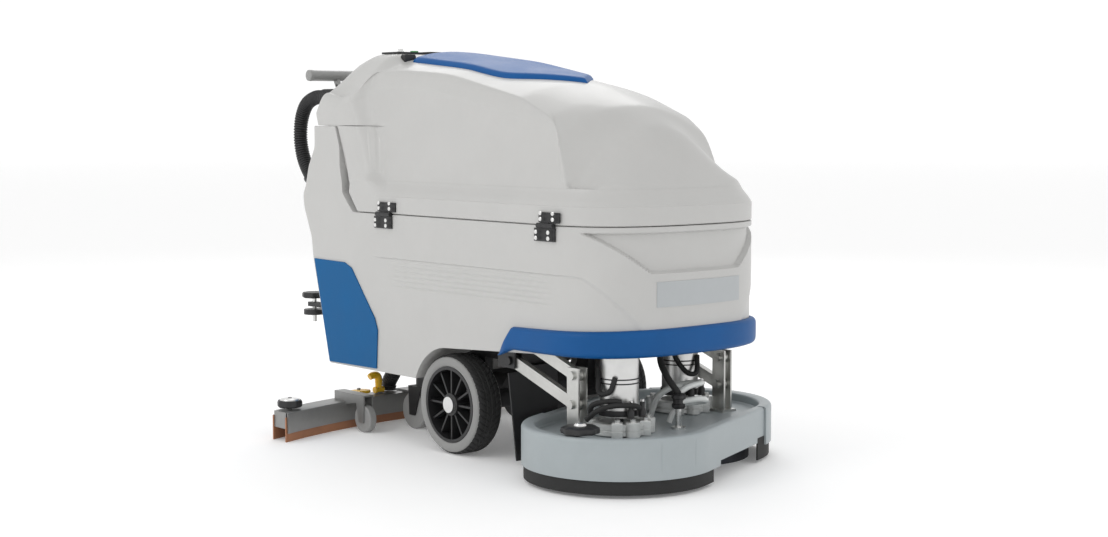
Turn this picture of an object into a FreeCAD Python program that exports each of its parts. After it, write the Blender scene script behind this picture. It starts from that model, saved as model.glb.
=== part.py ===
"""Walk-behind floor scrubber: twin-disc brush deck, solution tank, tilting recovery tank, squeegee.

Millimetres.  +Z is up, the machine's nose points along -Y, and its right-hand side is -X.
The origin is on the floor, under the middle of the machine's overall box.
"""
import FreeCAD
import Part
import math
import os

V = FreeCAD.Vector
os.makedirs("parts", exist_ok=True)

# ---------------------------------------------------------------- driving dimensions
# Tanks
BODY_HALF_W = 290.0        # half width of both tanks at the seam
BODY_NOSE_Y = -606.0       # front of both tanks at the seam
NOSE_DEPTH = 226.0         # length over which the nose rounds into the sides
TANK_WALL = 7.0
SKIN = 6.0                 # wall round the deck well
SEAM_Z = 587.0             # top of the solution tank
SEAM_GAP = 3.0
SEAM_REAR_Y = 369.0        # where the seam turns up behind the recovery tank
BODY_REAR_Y = 642.0        # back of the solution tank at its shoulder
BODY_FLOOR_Z = 177.0       # underside of the solution tank behind the wheels
NOSE_FLOOR_Z = 291.0       # bottom edge of its nose
WELL_TOP_Z = 395.0         # roof of the space over the brush deck
WELL_REAR_Y = -235.0
COLUMN_TOP_Z = 812.0       # top of the rear column
COLUMN_BACK_Y = 582.0
BAY_HALF_W = 212.0         # battery bay
BAY_FRONT_Y = -221.0
BAY_REAR_Y = 305.0
BAY_FLOOR_Z = 300.0
TUNNEL_X0 = -160.0         # suction hose tunnel in the underside
TUNNEL_X1 = -30.0
TUNNEL_Y0 = 375.0
TUNNEL_Y1 = 505.0
TUNNEL_TOP_Z = 330.0
PORT_R = 22.0              # filler neck in the back of the column
PORT_X = 235.0
PORT_Z = 784.0
FLANGE_H = 43.0            # upright flange round the recovery tank
LEDGE_H = 39.0             # sloping ledge above the flange
LEDGE_IN = 28.0
CROWN_Z = 1005.0           # top of the recovery tank at the console
LID_HALF_W = 150.0
LID_FRONT_Y = -215.0
LID_REAR_Y = 330.0
MOUTH_HALF_W = 120.0       # opening under the lid
MOUTH_FRONT_Y = -150.0
MOUTH_REAR_Y = 290.0

# Drive wheels and casters
WHEEL_R = 125.0
WHEEL_W = 78.0
WHEEL_FACE_X = 285.0       # outer face of the drive tyre
RIM_R = 95.0
RIM_T = 8.0
SPOKES = 12
HUB_R = 28.0
AXLE_R = 12.5
AXLE_Y = -17.0
ARCH_GAP = 17.0
CASTER_X = 120.0
CASTER_Y = 306.0
CASTER_R = 50.0
CASTER_W = 30.0
CASTER_TRAIL = 30.0

# Brush deck
RIGHT_LOBE = (-165.0, -512.0)
LEFT_LOBE = (165.0, -377.0)
LOBE_R = 227.0
COVER_T = 5.0
SKIRT_T = 4.0
SKIRT_CLEAR_Z = 8.0        # skirt above the floor
COVER_BOTTOM_Z = 40.0
DECK_BOTTOM_Z = 50.0
DECK_TOP_Z = 132.0
PAN_Z = 108.0              # floor of the sunk pan
PAN_T = 5.0
PAN_R = 195.0
DECK_WALL = 11.0
BRUSH_R = 172.0
BRUSH_PLATE_Z = 52.0
MOTOR_R = 45.0
MOTOR_BASE_Z = 150.0
MOTOR_TOP_Z = 322.0

# Parallel links that carry the deck
LINK_X = 240.0
LINK_W = 28.0
LINK_T = 16.0
LINK_REAR = (-220.0, 254.0)
LINK_FRONT = (-446.0, 175.0)
LINK_RISE = (-3.0, 68.0)   # from each lower pivot to the upper one
BOLT_R = 6.0
RUN_CLEAR = 0.06           # running clearance on a pivot
GAP = 1.0                  # free gap between parts that move past each other
LUG_T = 5.0

# Squeegee
SQ_HALF_W = 505.0
SQ_MID_Y = 488.0           # front blade line at the middle
SQ_SAG = 100.0             # how far forward its ends come
SQ_DEPTH = 52.0
SQ_BOTTOM_Z = 34.0
SQ_TOP_Z = 76.0
BLADE_T = 4.0
SQ_WHEEL_R = 37.0
SQ_WHEEL_W = 22.0
SQ_WHEEL_X = 261.0
SQ_WHEEL_Y = 378.0
SQ_HINGE_Y = 190.0
SQ_HINGE_Z = 135.0
SQ_YAW_Y = 452.0
ELBOW_R = 21.0

# Hinges, handle, hose
HINGE_X = 297.0
HOSE_R = 19.0
HOSE_X = -235.0
HANDLE_Y = 662.0
HANDLE_Z = 951.0
HANDLE_R = 15.0
HANDLE_HALF_W = 245.0


# ---------------------------------------------------------------- helpers
def box(x0, x1, y0, y1, z0, z1):
    return Part.makeBox(x1 - x0, y1 - y0, z1 - z0, V(x0, y0, z0))


def cyl(x, y, z, r, h, axis=(0, 0, 1)):
    return Part.makeCylinder(r, h, V(x, y, z), V(*axis))


def ring(x, y, z, r_out, r_in, h, axis=(0, 0, 1)):
    return cyl(x, y, z, r_out, h, axis).cut(cyl(x, y, z, r_in, h, axis))


def x_rod(y, z, r, x0, x1):
    return cyl(x0, y, z, r, x1 - x0, (1, 0, 0))


def y_rod(x, z, r, y0, y1):
    return cyl(x, y0, z, r, y1 - y0, (0, 1, 0))


def face_of(points):
    return Part.Face(Part.makePolygon(points + points[:1]))


def prism_x(yz, x0, x1):
    """Polygon in the YZ plane, run from x0 to x1."""
    return face_of([V(x0, y, z) for y, z in yz]).extrude(V(x1 - x0, 0, 0))


def prism_y(xz, y0, y1):
    return face_of([V(x, y0, z) for x, z in xz]).extrude(V(0, y1 - y0, 0))


def prism_z(xy, z0, z1):
    return face_of([V(x, y, z0) for x, y in xy]).extrude(V(0, 0, z1 - z0))


def mirror_x(shape):
    return shape.mirror(V(0, 0, 0), V(1, 0, 0))


def group(shapes):
    return Part.makeCompound(shapes)


def fuse(shapes):
    return shapes[0].fuse(shapes[1:]).removeSplitter()


def save(name, shape):
    shape.exportStep("parts/" + name + ".step")
    good = all(s.isValid() for s in shape.Solids)
    print(name, "solids", len(shape.Solids), "valid", good, "litres", round(shape.Volume / 1e6, 3))
    return shape


def arc_edge(a, m, b):
    return Part.Arc(a, m, b).toShape()


def body_wire(inset, rear_y, z):
    """Plan of the tanks: straight sides, full rounded nose, square back."""
    hw = BODY_HALF_W - inset
    fy = BODY_NOSE_Y + inset
    side_y = fy + NOSE_DEPTH
    mid = (0.758 * hw, fy + 0.200 * NOSE_DEPTH)
    tip = (0.339 * hw, fy + 0.020 * NOSE_DEPTH)
    shoulder = (0.943 * hw, fy + 0.480 * NOSE_DEPTH)
    quarter = (0.560 * hw, fy + 0.078 * NOSE_DEPTH)
    edges = [
        arc_edge(V(-hw, side_y, z), V(-shoulder[0], shoulder[1], z), V(-mid[0], mid[1], z)),
        arc_edge(V(-mid[0], mid[1], z), V(-quarter[0], quarter[1], z), V(-tip[0], tip[1], z)),
        arc_edge(V(-tip[0], tip[1], z), V(0, fy, z), V(tip[0], tip[1], z)),
        arc_edge(V(tip[0], tip[1], z), V(quarter[0], quarter[1], z), V(mid[0], mid[1], z)),
        arc_edge(V(mid[0], mid[1], z), V(shoulder[0], shoulder[1], z), V(hw, side_y, z)),
        Part.makeLine(V(hw, side_y, z), V(hw, rear_y - inset, z)),
        Part.makeLine(V(hw, rear_y - inset, z), V(-hw, rear_y - inset, z)),
        Part.makeLine(V(-hw, rear_y - inset, z), V(-hw, side_y, z)),
    ]
    return Part.Wire(edges)


def body_prism(inset, rear_y, z0, z1):
    return Part.Face(body_wire(inset, rear_y, z0)).extrude(V(0, 0, z1 - z0))


def slot_x(a, b, r, x0, x1, bore):
    """Flat link in a YZ plane with round ends and a bore at each end."""
    ay, az = a
    by, bz = b
    run = math.hypot(by - ay, bz - az)
    ny, nz = -(bz - az) / run * r, (by - ay) / run * r
    bar = prism_x([(ay + ny, az + nz), (by + ny, bz + nz), (by - ny, bz - nz), (ay - ny, az - nz)], x0, x1)
    bar = bar.fuse([x_rod(ay, az, r, x0, x1), x_rod(by, bz, r, x0, x1)])
    return bar.cut(fuse_pair(x_rod(ay, az, bore, x0, x1), x_rod(by, bz, bore, x0, x1))).removeSplitter()


def fuse_pair(a, b):
    return Part.makeCompound([a, b])


def both_sides(make):
    """The same piece on the right and, mirrored, on the left."""
    right = make()
    return [right, mirror_x(right)]


# ---------------------------------------------------------------- solution tank
ARCH_R = WHEEL_R + ARCH_GAP
NUT_H = 7.0
POCKET_X0 = LINK_X - LINK_T / 2 - GAP - LUG_T - NUT_H - GAP   # inner side of the pocket for the links


def lower_profile(inset, x0, x1):
    """Side profile of the solution tank with its wheel arch, moved in by inset."""
    t = inset
    floor_z = BODY_FLOOR_Z + t
    arch_r = ARCH_R + t
    foot_a = math.asin((floor_z - WHEEL_R) / arch_r)
    mid_a = (foot_a + math.pi / 2) / 2
    foot = AXLE_Y + arch_r * math.cos(foot_a)
    mid = V(x0, AXLE_Y + arch_r * math.cos(mid_a), WHEEL_R + arch_r * math.sin(mid_a))
    path = [V(x0, y, z) for y, z in (
        (AXLE_Y, WHEEL_R + arch_r), (BODY_NOSE_Y + t, NOSE_FLOOR_Z + t), (BODY_NOSE_Y + t, SEAM_Z - t),
        (SEAM_REAR_Y + t, SEAM_Z - t), (SEAM_REAR_Y + 41 + t, SEAM_Z + 53), (SEAM_REAR_Y + 41 + t, 663),
        (467 + t, COLUMN_TOP_Z - t), (COLUMN_BACK_Y - t, COLUMN_TOP_Z - t), (COLUMN_BACK_Y - t, 755), (BODY_REAR_Y - 30 - t, 706),
        (BODY_REAR_Y - 14 - t, 650), (BODY_REAR_Y - t, 622), (602 - t, 513), (594 - t, 454),
        (517 - t, floor_z), (foot, floor_z))]
    edges = [Part.makeLine(p, q) for p, q in zip(path[:-1], path[1:])]
    edges.append(arc_edge(path[-1], mid, path[0]))
    return Part.Face(Part.Wire(edges)).extrude(V(x1 - x0, 0, 0))


def deck_well(grow):
    """Open space over the brush deck, with a pocket at each side for the links."""
    nose = body_prism(SKIN - grow, BODY_REAR_Y, 0, WELL_TOP_Z + grow)
    nose = nose.common(box(-BODY_HALF_W, BODY_HALF_W, BODY_NOSE_Y, WELL_REAR_Y + grow, 0, CROWN_Z))
    pockets = both_sides(lambda: box(-BODY_HALF_W + SKIN - grow, -POCKET_X0 + grow, WELL_REAR_Y - 60,
                                     -165 + grow, 0, WELL_TOP_Z + grow))
    return nose.fuse(pockets).removeSplitter()


def solution_tank():
    hw = BODY_HALF_W
    t = TANK_WALL
    outer = lower_profile(0, -hw, hw).common(body_prism(0, BODY_REAR_Y + 10, 0, CROWN_Z))
    water = lower_profile(t, -hw, hw).common(body_prism(t, BODY_REAR_Y, 0, CROWN_Z))
    bay_liner = box(-BAY_HALF_W - t, BAY_HALF_W + t, BAY_FRONT_Y - t, BAY_REAR_Y + t, BAY_FLOOR_Z - t, CROWN_Z)
    tunnel_liner = box(TUNNEL_X0 - t, TUNNEL_X1 + t, TUNNEL_Y0 - t, TUNNEL_Y1 + t, 0, TUNNEL_TOP_Z + t)
    water = water.cut(bay_liner).cut(tunnel_liner).cut(deck_well(t))
    bay = box(-BAY_HALF_W, BAY_HALF_W, BAY_FRONT_Y, BAY_REAR_Y, BAY_FLOOR_Z, SEAM_Z + 1)
    tunnel = box(TUNNEL_X0, TUNNEL_X1, TUNNEL_Y0, TUNNEL_Y1, 0, TUNNEL_TOP_Z)
    port = y_rod(PORT_X, PORT_Z, PORT_R, COLUMN_BACK_Y - 2 * t, COLUMN_BACK_Y)
    return outer.cut(water).cut(bay).cut(tunnel).cut(deck_well(0)).cut(port)


BUMPER_T = 12.0


def front_bumper():
    """Blue band that wraps the nose and the front of both sides."""
    shell = body_prism(-BUMPER_T, BODY_REAR_Y, 0, CROWN_Z).cut(body_prism(0, BODY_REAR_Y + 40, 0, CROWN_Z))
    side = [(-226, 271), (-279, 343), (-660, 354), (-660, 291)]
    return shell.common(prism_x(side, -BODY_HALF_W - 40, BODY_HALF_W + 40))


PANEL_T = 3.0


def side_panel():
    outline = [(570, 455), (426, 453), (393, 440), (289, 316), (276, 285), (282, 184), (500, 181)]
    return prism_x(outline, -BODY_HALF_W - PANEL_T, -BODY_HALF_W)


# ---------------------------------------------------------------- steel frame
RAIL_X0 = 160.0
RAIL_X1 = 185.0
BEAM_Y0 = -200.0           # cross beam that carries the links
BEAM_Y1 = -176.0
BEAM_Z0 = 238.0
BEAM_Z1 = 262.0
REAR_RAIL_Z = 152.0
PLATE_T = 8.0
AXLE_TUBE_R = 24.0
CASTER_STEM_R = 8.0
CASTER_BOSS_R = 22.0
CASTER_BOSS_Z = 118.0


def link_lug(x0):
    """One cheek of the clevis that holds the rear pivots of the links."""
    y, z = LINK_REAR
    ry, rz = LINK_RISE
    cheek = prism_x([(y - 18, z - 18), (BEAM_Y1, z - 18), (BEAM_Y1, z + rz + 16), (y + ry - 18, z + rz + 16)],
                    x0, x0 + LUG_T)
    return cheek.cut(fuse_pair(x_rod(y, z, BOLT_R, x0, x0 + LUG_T),
                               x_rod(y + ry, z + rz, BOLT_R, x0, x0 + LUG_T)))


def link_lugs():
    outer = link_lug(-LINK_X - LINK_T / 2 - GAP - LUG_T)
    inner = link_lug(-LINK_X + LINK_T / 2 + GAP)
    return [outer, inner]


def pivot_bolt(y, z):
    """Bolt through both cheeks, with a head and a nut outside them."""
    half = LINK_T / 2 + GAP + LUG_T
    shank = x_rod(y, z, BOLT_R, -LINK_X - half, -LINK_X + half)
    head = x_rod(y, z, BOLT_R * 1.7, -LINK_X - half - NUT_H, -LINK_X - half)
    nut = x_rod(y, z, BOLT_R * 1.7, -LINK_X + half, -LINK_X + half + NUT_H)
    return fuse([shank, head, nut])


def chassis_frame():
    rail = prism_x([(BEAM_Y1, BEAM_Z0), (BEAM_Y1, BEAM_Z1), (-20, BEAM_Z1), (55, 235), (108, BODY_FLOOR_Z),
                    (370, BODY_FLOOR_Z), (370, REAR_RAIL_Z), (95, REAR_RAIL_Z), (40, 214), (-25, BEAM_Z0)],
                   -RAIL_X1, -RAIL_X0)
    hanger = box(-RAIL_X1, -RAIL_X0, AXLE_Y - 22, AXLE_Y + 22, WHEEL_R - 6, BEAM_Z0)
    hanger = hanger.cut(x_rod(AXLE_Y, WHEEL_R, AXLE_TUBE_R, -RAIL_X1, -RAIL_X0))
    parts = [rail, hanger] + link_lugs()
    parts += [mirror_x(p) for p in parts]
    reach = LINK_X + LINK_T / 2 + GAP + LUG_T
    parts.append(box(-reach, reach, BEAM_Y0, BEAM_Y1, BEAM_Z0, BEAM_Z1))
    for y in (150.0, 346.0):
        parts.append(box(-RAIL_X0, RAIL_X0, y, y + 24, REAR_RAIL_Z, BODY_FLOOR_Z))
    deck = box(-RAIL_X0, RAIL_X0, CASTER_Y - 30, CASTER_Y + 30, REAR_RAIL_Z, REAR_RAIL_Z + PLATE_T)
    bosses = [cyl(s * CASTER_X, CASTER_Y, CASTER_BOSS_Z, CASTER_BOSS_R, REAR_RAIL_Z - CASTER_BOSS_Z)
              for s in (-1, 1)]
    lugs = [squeegee_lug(s) for s in (-1, 1)]
    frame = fuse(parts + [deck] + bosses + lugs)
    for s in (-1, 1):
        frame = frame.cut(cyl(s * CASTER_X, CASTER_Y, CASTER_BOSS_Z, CASTER_STEM_R + RUN_CLEAR,
                              REAR_RAIL_Z + PLATE_T - CASTER_BOSS_Z))
    bolts = both_sides(lambda: pivot_bolt(*LINK_REAR))
    upper = (LINK_REAR[0] + LINK_RISE[0], LINK_REAR[1] + LINK_RISE[1])
    bolts += both_sides(lambda: pivot_bolt(*upper))
    pin = x_rod(SQ_HINGE_Y, SQ_HINGE_Z, BOLT_R, -ARM_HALF_W - GAP - 10, ARM_HALF_W + GAP + 10)
    return group([frame, pin, adjuster_bracket()] + bolts)


ARM_HALF_W = 25.0


def squeegee_lug(side):
    x0 = side * (ARM_HALF_W + GAP + 5) - 5
    lug = prism_x([(150, REAR_RAIL_Z), (174, REAR_RAIL_Z), (SQ_HINGE_Y + 14, SQ_HINGE_Z + 8),
                   (SQ_HINGE_Y + 14, SQ_HINGE_Z - 14), (SQ_HINGE_Y - 14, SQ_HINGE_Z - 14)], x0, x0 + 10)
    return lug.cut(x_rod(SQ_HINGE_Y, SQ_HINGE_Z, BOLT_R, x0, x0 + 10))


def transaxle():
    """Drive motor and differential between the wheels, with the two axle tubes."""
    casing = x_rod(AXLE_Y, WHEEL_R, 55, -70, 70)
    motor = y_rod(0, 120, 44, AXLE_Y, 142)
    tubes = x_rod(AXLE_Y, WHEEL_R, AXLE_TUBE_R, -200, 200)
    bores = [x_rod(AXLE_Y, WHEEL_R, AXLE_R + RUN_CLEAR, -200, -100),
             x_rod(AXLE_Y, WHEEL_R, AXLE_R + RUN_CLEAR, 100, 200)]
    return fuse([casing, motor, tubes]).cut(group(bores))


def batteries():
    cells = []
    for x in (-102.0, 102.0):
        for y in (-89.0, 173.0):
            case = box(x - 99, x + 99, y - 128, y + 128, BAY_FLOOR_Z, BAY_FLOOR_Z + 258)
            posts = [cyl(x + s * 70, y + 100, BAY_FLOOR_Z + 258, 9, 14) for s in (-1, 1)]
            cells.append(fuse([case] + posts))
    return group(cells)


def motor_controller():
    return box(-70, 70, BEAM_Y1, BEAM_Y1 + 90, BEAM_Z0, BEAM_Z1 - 2)


def splash_plate():
    """Black plate behind the right brush, hung from the link beam."""
    drop = prism_y([(-267, 226), (-242, 10), (-112, 10), (-112, 226)], -233, -229)
    shelf = box(-222, -112, -233, BEAM_Y1, BEAM_Z0 - 4, BEAM_Z0)
    web = box(-222, -112, -233, -229, 226, BEAM_Z0 - 4)
    return fuse([drop, shelf, web])


# ---------------------------------------------------------------- hinges between the tanks
HINGE_Z = SEAM_Z + SEAM_GAP / 2
KNUCKLE_R = 6.0
HINGE_PIN_R = 2.5
LEAF_T = 4.0
HINGES = ((191.0, 284.0), (-448.0, -360.0))   # length of each hinge along y
LEAF_SHIFT = 16.0          # the leaves are offset from each other


def hinge_leaf(y0, y1, z0, z1, knuckles, bore):
    """One leaf on the body side with its share of the knuckles."""
    leaf = box(-BODY_HALF_W - LEAF_T, -BODY_HALF_W, y0, y1, z0, z1)
    near = z1 if z1 < HINGE_Z else z0
    stem_z = sorted((near, HINGE_Z))
    parts = [leaf]
    for a, b in knuckles:
        parts.append(y_rod(-HINGE_X, HINGE_Z, KNUCKLE_R, a, b))
        parts.append(box(-HINGE_X - 1, -BODY_HALF_W - 1, a, b, stem_z[0], stem_z[1]))
    shape = fuse(parts)
    return shape.cut(y_rod(-HINGE_X, HINGE_Z, bore, y0 - 20, y1 + 20))


def hinge_lower_leaves():
    out = []
    for y0, y1 in HINGES:
        a, b = y0 + LEAF_SHIFT, y1 - LEAF_SHIFT
        third = (b - a) / 3
        out.append(hinge_leaf(y0 + LEAF_SHIFT, y1, 552, SEAM_Z - 5, [(a, a + third), (b - third, b)],
                              HINGE_PIN_R))
        out.append(y_rod(-HINGE_X, HINGE_Z, HINGE_PIN_R, a, b))
    return group(out)


def hinge_upper_leaves():
    out = []
    for y0, y1 in HINGES:
        a, b = y0 + LEAF_SHIFT, y1 - LEAF_SHIFT
        third = (b - a) / 3
        out.append(hinge_leaf(y0, y1 - LEAF_SHIFT, SEAM_Z + SEAM_GAP + 5, 619,
                              [(a + third + 0.5, b - third - 0.5)], HINGE_PIN_R + RUN_CLEAR))
    return group(out)




# ---------------------------------------------------------------- recovery tank
UP_Z0 = SEAM_Z + SEAM_GAP
COLUMN_GAP = 3.0
CONSOLE_REAR_Y = 530.0


def upper_profile(inset, x0, x1):
    """Side profile of the recovery tank and its console, moved in by inset."""
    t = inset
    rear = SEAM_REAR_Y - COLUMN_GAP
    path = [(BODY_NOSE_Y + t, UP_Z0 + t), (rear - t, UP_Z0 + t), (rear + 41 - t, SEAM_Z + 53 + t),
            (rear + 41 - t, 663), (464 - t, COLUMN_TOP_Z + t), (464 - t, COLUMN_TOP_Z + COLUMN_GAP + t),
            (570 - t, COLUMN_TOP_Z + COLUMN_GAP + t), (582 - t, 850), (CONSOLE_REAR_Y - t, 952),
            (500 - t, 990 - t), (455, CROWN_Z - t), (274, 997 - t), (64, 973 - t), (-215, 920 - t),
            (-387, 864 - t), (-470 + t / 2, 812 - t), (-540 + t, 712), (-577 + t, 640)]
    if t:
        path = [p for p in path if p != (464 - t, COLUMN_TOP_Z + COLUMN_GAP + t)]
    return prism_x(path, x0, x1)


def upper_section(inset, y0, y1):
    """Front view of the recovery tank: upright flange, ledge and rounded shoulders."""
    t = inset
    hw = BODY_HALF_W - t
    waist = UP_Z0 + FLANGE_H
    half = [(hw, UP_Z0 - 1), (hw, waist - t / 2), (hw - LEDGE_IN, waist + LEDGE_H - t / 2),
            (hw - LEDGE_IN - 6, 900 - t), (hw - LEDGE_IN - 22, 948 - t), (hw - LEDGE_IN - 62, 982 - t),
            (LID_HALF_W - 30, CROWN_Z + 1 - t)]
    outline = half + [(-x, z) for x, z in reversed(half)]
    return prism_y(outline, y0, y1)


def upper_solid(inset):
    t = inset
    far = BODY_REAR_Y + 60
    waist = UP_Z0 + FLANGE_H
    skirt = body_prism(t, far, UP_Z0 - 2, waist)
    slope = Part.makeLoft([body_wire(t, far, waist), body_wire(t + LEDGE_IN, far, waist + LEDGE_H)], True, True)
    dome = body_prism(t + LEDGE_IN, far, waist + LEDGE_H, CROWN_Z + 2)
    plan = skirt.fuse([slope, dome])
    section = upper_section(t, BODY_NOSE_Y - 1, far)
    return plan.common(upper_profile(t, -BODY_HALF_W, BODY_HALF_W)).common(section)


def lid_prism(grow, z0, z1):
    """Plan of the lid: wide at the rear, narrower and rounded at the front tip."""
    hw = LID_HALF_W + grow
    y0, y1 = LID_FRONT_Y - grow, LID_REAR_Y + grow
    wire = Part.Wire([
        arc_edge(V(-hw * 0.86, y0 + 60, z0), V(0, y0, z0), V(hw * 0.86, y0 + 60, z0)),
        Part.makeLine(V(hw * 0.86, y0 + 60, z0), V(hw, y1, z0)),
        Part.makeLine(V(hw, y1, z0), V(-hw, y1, z0)),
        Part.makeLine(V(-hw, y1, z0), V(-hw * 0.86, y0 + 60, z0))])
    return Part.Face(wire).extrude(V(0, 0, z1 - z0))


def crown_profile(drop, x0, x1):
    """Everything below the tank's crown line lowered by drop."""
    return prism_x([(-700, 600), (700, 600), (700, CROWN_Z - drop), (455, CROWN_Z - drop), (274, 997 - drop),
                    (64, 973 - drop), (-215, 920 - drop), (-387, 864 - drop), (-700, 760 - drop)], x0, x1)


def lid_region(grow, top_rise, depth):
    """A slab that follows the crown line, between top_rise above and depth below it."""
    hw = BODY_HALF_W
    plan = lid_prism(grow, 700, CROWN_Z + 60)
    slab = crown_profile(-top_rise, -hw, hw).cut(crown_profile(depth, -hw, hw))
    return plan.common(slab)


LID_HINGE_Y = -216.0       # barrel that the lid swings on
LID_HINGE_Z = 934.0
LID_SINK = 10.0
LID_RISE = 12.0
GASKET_T = 4.0


def recovery_tank():
    outer = upper_solid(0)
    hollow = upper_solid(TANK_WALL).common(box(-BODY_HALF_W, BODY_HALF_W, BODY_NOSE_Y, 440, 0, CROWN_Z))
    mouth = box(-MOUTH_HALF_W, MOUTH_HALF_W, MOUTH_FRONT_Y, MOUTH_REAR_Y, 780, CROWN_Z + 10)
    seat = lid_region(GAP, LID_RISE + 20, LID_SINK + GASKET_T)
    tank = outer.cut(hollow).cut(mouth).cut(seat)
    return tank.cut(vacuum_pocket()).cut(hose_pocket())


HOSE_OUT_Z = 890.0


def vacuum_pocket():
    """Space for the vacuum motor at the back of the tank."""
    return cyl(60, 500, COLUMN_TOP_Z + COLUMN_GAP, 66, 96)


def hose_pocket():
    """Socket in the back of the console for the hose cuff."""
    return y_rod(HOSE_X, HOSE_OUT_Z, HOSE_R + 3, 540, 620)


def tank_lid():
    """Blue lid with a raised crown, flat underside and a grip notch at its rear edge."""
    slab = lid_region(0, LID_RISE, LID_SINK)
    grip = box(-60, 60, LID_REAR_Y - 26, LID_REAR_Y + 1, CROWN_Z - 12, CROWN_Z + 40)
    barrel = x_rod(LID_HINGE_Y, LID_HINGE_Z, 5, -20, 20)
    return fuse([slab.cut(grip), barrel])


def lid_gasket():
    band = lid_region(-6, -LID_SINK - 0.3, LID_SINK + GASKET_T)
    return band.cut(lid_prism(-22, 700, CROWN_Z + 60))


def vacuum_motor():
    base = COLUMN_TOP_Z + COLUMN_GAP
    can = cyl(60, 500, base + 1, 58, 60)
    top = cyl(60, 500, base + 61, 40, 32)
    return fuse([can, top])


def float_cage():
    """Ball float cage that shuts the vacuum off when the tank is full."""
    tube = ring(0, 330, 835, 30, 26, 70)
    cap = cyl(0, 330, 905, 34, 8)
    foot = cyl(0, 330, 829, 30, 6)
    ball = Part.makeSphere(22, V(0, 330, 862))
    return group([fuse([tube, cap, foot]), ball])




# ---------------------------------------------------------------- console
def control_panel():
    """Black switch panel let into the top of the console."""
    plate = box(-150, 150, 372, 448, CROWN_Z, CROWN_Z + 5)
    display = box(-30, 30, 392, 432, CROWN_Z + 5, CROWN_Z + 8)
    for x in (-70.0, 70.0):
        plate = plate.cut(cyl(x, 410, CROWN_Z, BUTTON_R + GAP, 6))
    plate = plate.cut(cyl(KEY_X, 410, CROWN_Z, KEY_R + RUN_CLEAR, 6))
    return plate.fuse(display).removeSplitter()


BUTTON_R = 11.0
BUTTON_TRAVEL = 3.0
KEY_X = -115.0
KEY_R = 9.0


def button(x):
    return cyl(x, 410, CROWN_Z + BUTTON_TRAVEL + 0.5, BUTTON_R, 6)


def key_switch():
    barrel = cyl(KEY_X, 410, CROWN_Z + 0.3, KEY_R, 7.7)
    bow = box(KEY_X - 1.2, KEY_X + 1.2, 400, 420, CROWN_Z + 8, CROWN_Z + 14)
    return fuse([barrel, bow])


# ---------------------------------------------------------------- handle and paddle
def handle_bar():
    """Tube across the back, on two arms from the top of the rear column."""
    tube = x_rod(HANDLE_Y, HANDLE_Z, HANDLE_R, -HANDLE_HALF_W, HANDLE_HALF_W)
    arm = prism_x([(COLUMN_BACK_Y, 790), (600, 800), (612, 835), (HANDLE_Y + 8, HANDLE_Z - 8),
                   (HANDLE_Y - 8, HANDLE_Z - 4), (600, 842), (COLUMN_BACK_Y, 811)], HANDLE_ARM_X, HANDLE_ARM_X + 10)
    foot = box(HANDLE_ARM_X - 15, HANDLE_ARM_X + 25, COLUMN_BACK_Y, COLUMN_BACK_Y + 6, 765, 811)
    arm = arm.cut(x_rod(PADDLE_Y, PADDLE_Z, PADDLE_PIN_R + RUN_CLEAR, HANDLE_ARM_X, HANDLE_ARM_X + 10))
    arms = [arm, foot, mirror_x(arm), mirror_x(foot)]
    return fuse([tube] + arms)


PADDLE_Y = 651.0
PADDLE_Z = 924.0
PADDLE_PIN_R = 4.0
HANDLE_ARM_X = 150.0


def drive_paddle():
    """Squeeze paddle under the handle that starts the drive."""
    shaft = x_rod(PADDLE_Y, PADDLE_Z, PADDLE_PIN_R, -HANDLE_ARM_X - 8, HANDLE_ARM_X + 8)
    blade = box(-120, 120, PADDLE_Y - 3, PADDLE_Y + 3, PADDLE_Z - 42, PADDLE_Z)
    return fuse([shaft, blade])


# ---------------------------------------------------------------- suction hose at the back
def tube_route(points, radius):
    """Round tube along straight runs joined by arcs as large as the runs allow."""
    pts = [V(*p) for p in points]
    edges = []
    start = pts[0]
    for a, b, c in zip(pts[:-2], pts[1:-1], pts[2:]):
        u, w = (a - b), (c - b)
        turn = math.pi - u.getAngle(w)
        cut = 0.45 * min(u.Length, w.Length)
        bend = cut / math.tan(turn / 2)
        u.normalize()
        w.normalize()
        p, q = b + u * cut, b + w * cut
        axis = u + w
        axis.normalize()
        centre = b + axis * (bend / math.cos(turn / 2))
        mid = centre + (b - centre).normalize() * bend
        edges += [Part.LineSegment(start, p).toShape(), Part.Arc(p, mid, q).toShape()]
        start = q
        print("   bend radius", round(bend, 1))
    edges.append(Part.LineSegment(start, pts[-1]).toShape())
    path = Part.Wire(edges)
    along = pts[1] - pts[0]
    profile = Part.Wire(Part.makeCircle(radius, pts[0], along))
    tube = path.makePipeShell([profile], True, False)
    print("   tube litres", round(math.pi * radius ** 2 * path.Length / 1e6, 4), round(tube.Volume / 1e6, 4))
    return tube


HOSE_START_Y = 598.5
HOSE_POINTS = [(HOSE_X, HOSE_START_Y, HOSE_OUT_Z), (HOSE_X, 642, HOSE_OUT_Z), (HOSE_X, 688, 872), (HOSE_X, 715, 832),
               (HOSE_X, 722, 780), (HOSE_X, 711, 732), (HOSE_X, 686, 692), (HOSE_X, 655, 664)]
CUFF_L = 42.0


def hose_cuff():
    """Cuff in the console's socket; the hose pushes up against it."""
    return y_rod(HOSE_X, HOSE_OUT_Z, HOSE_R + 3, 540, HOSE_START_Y - 0.5)


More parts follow.
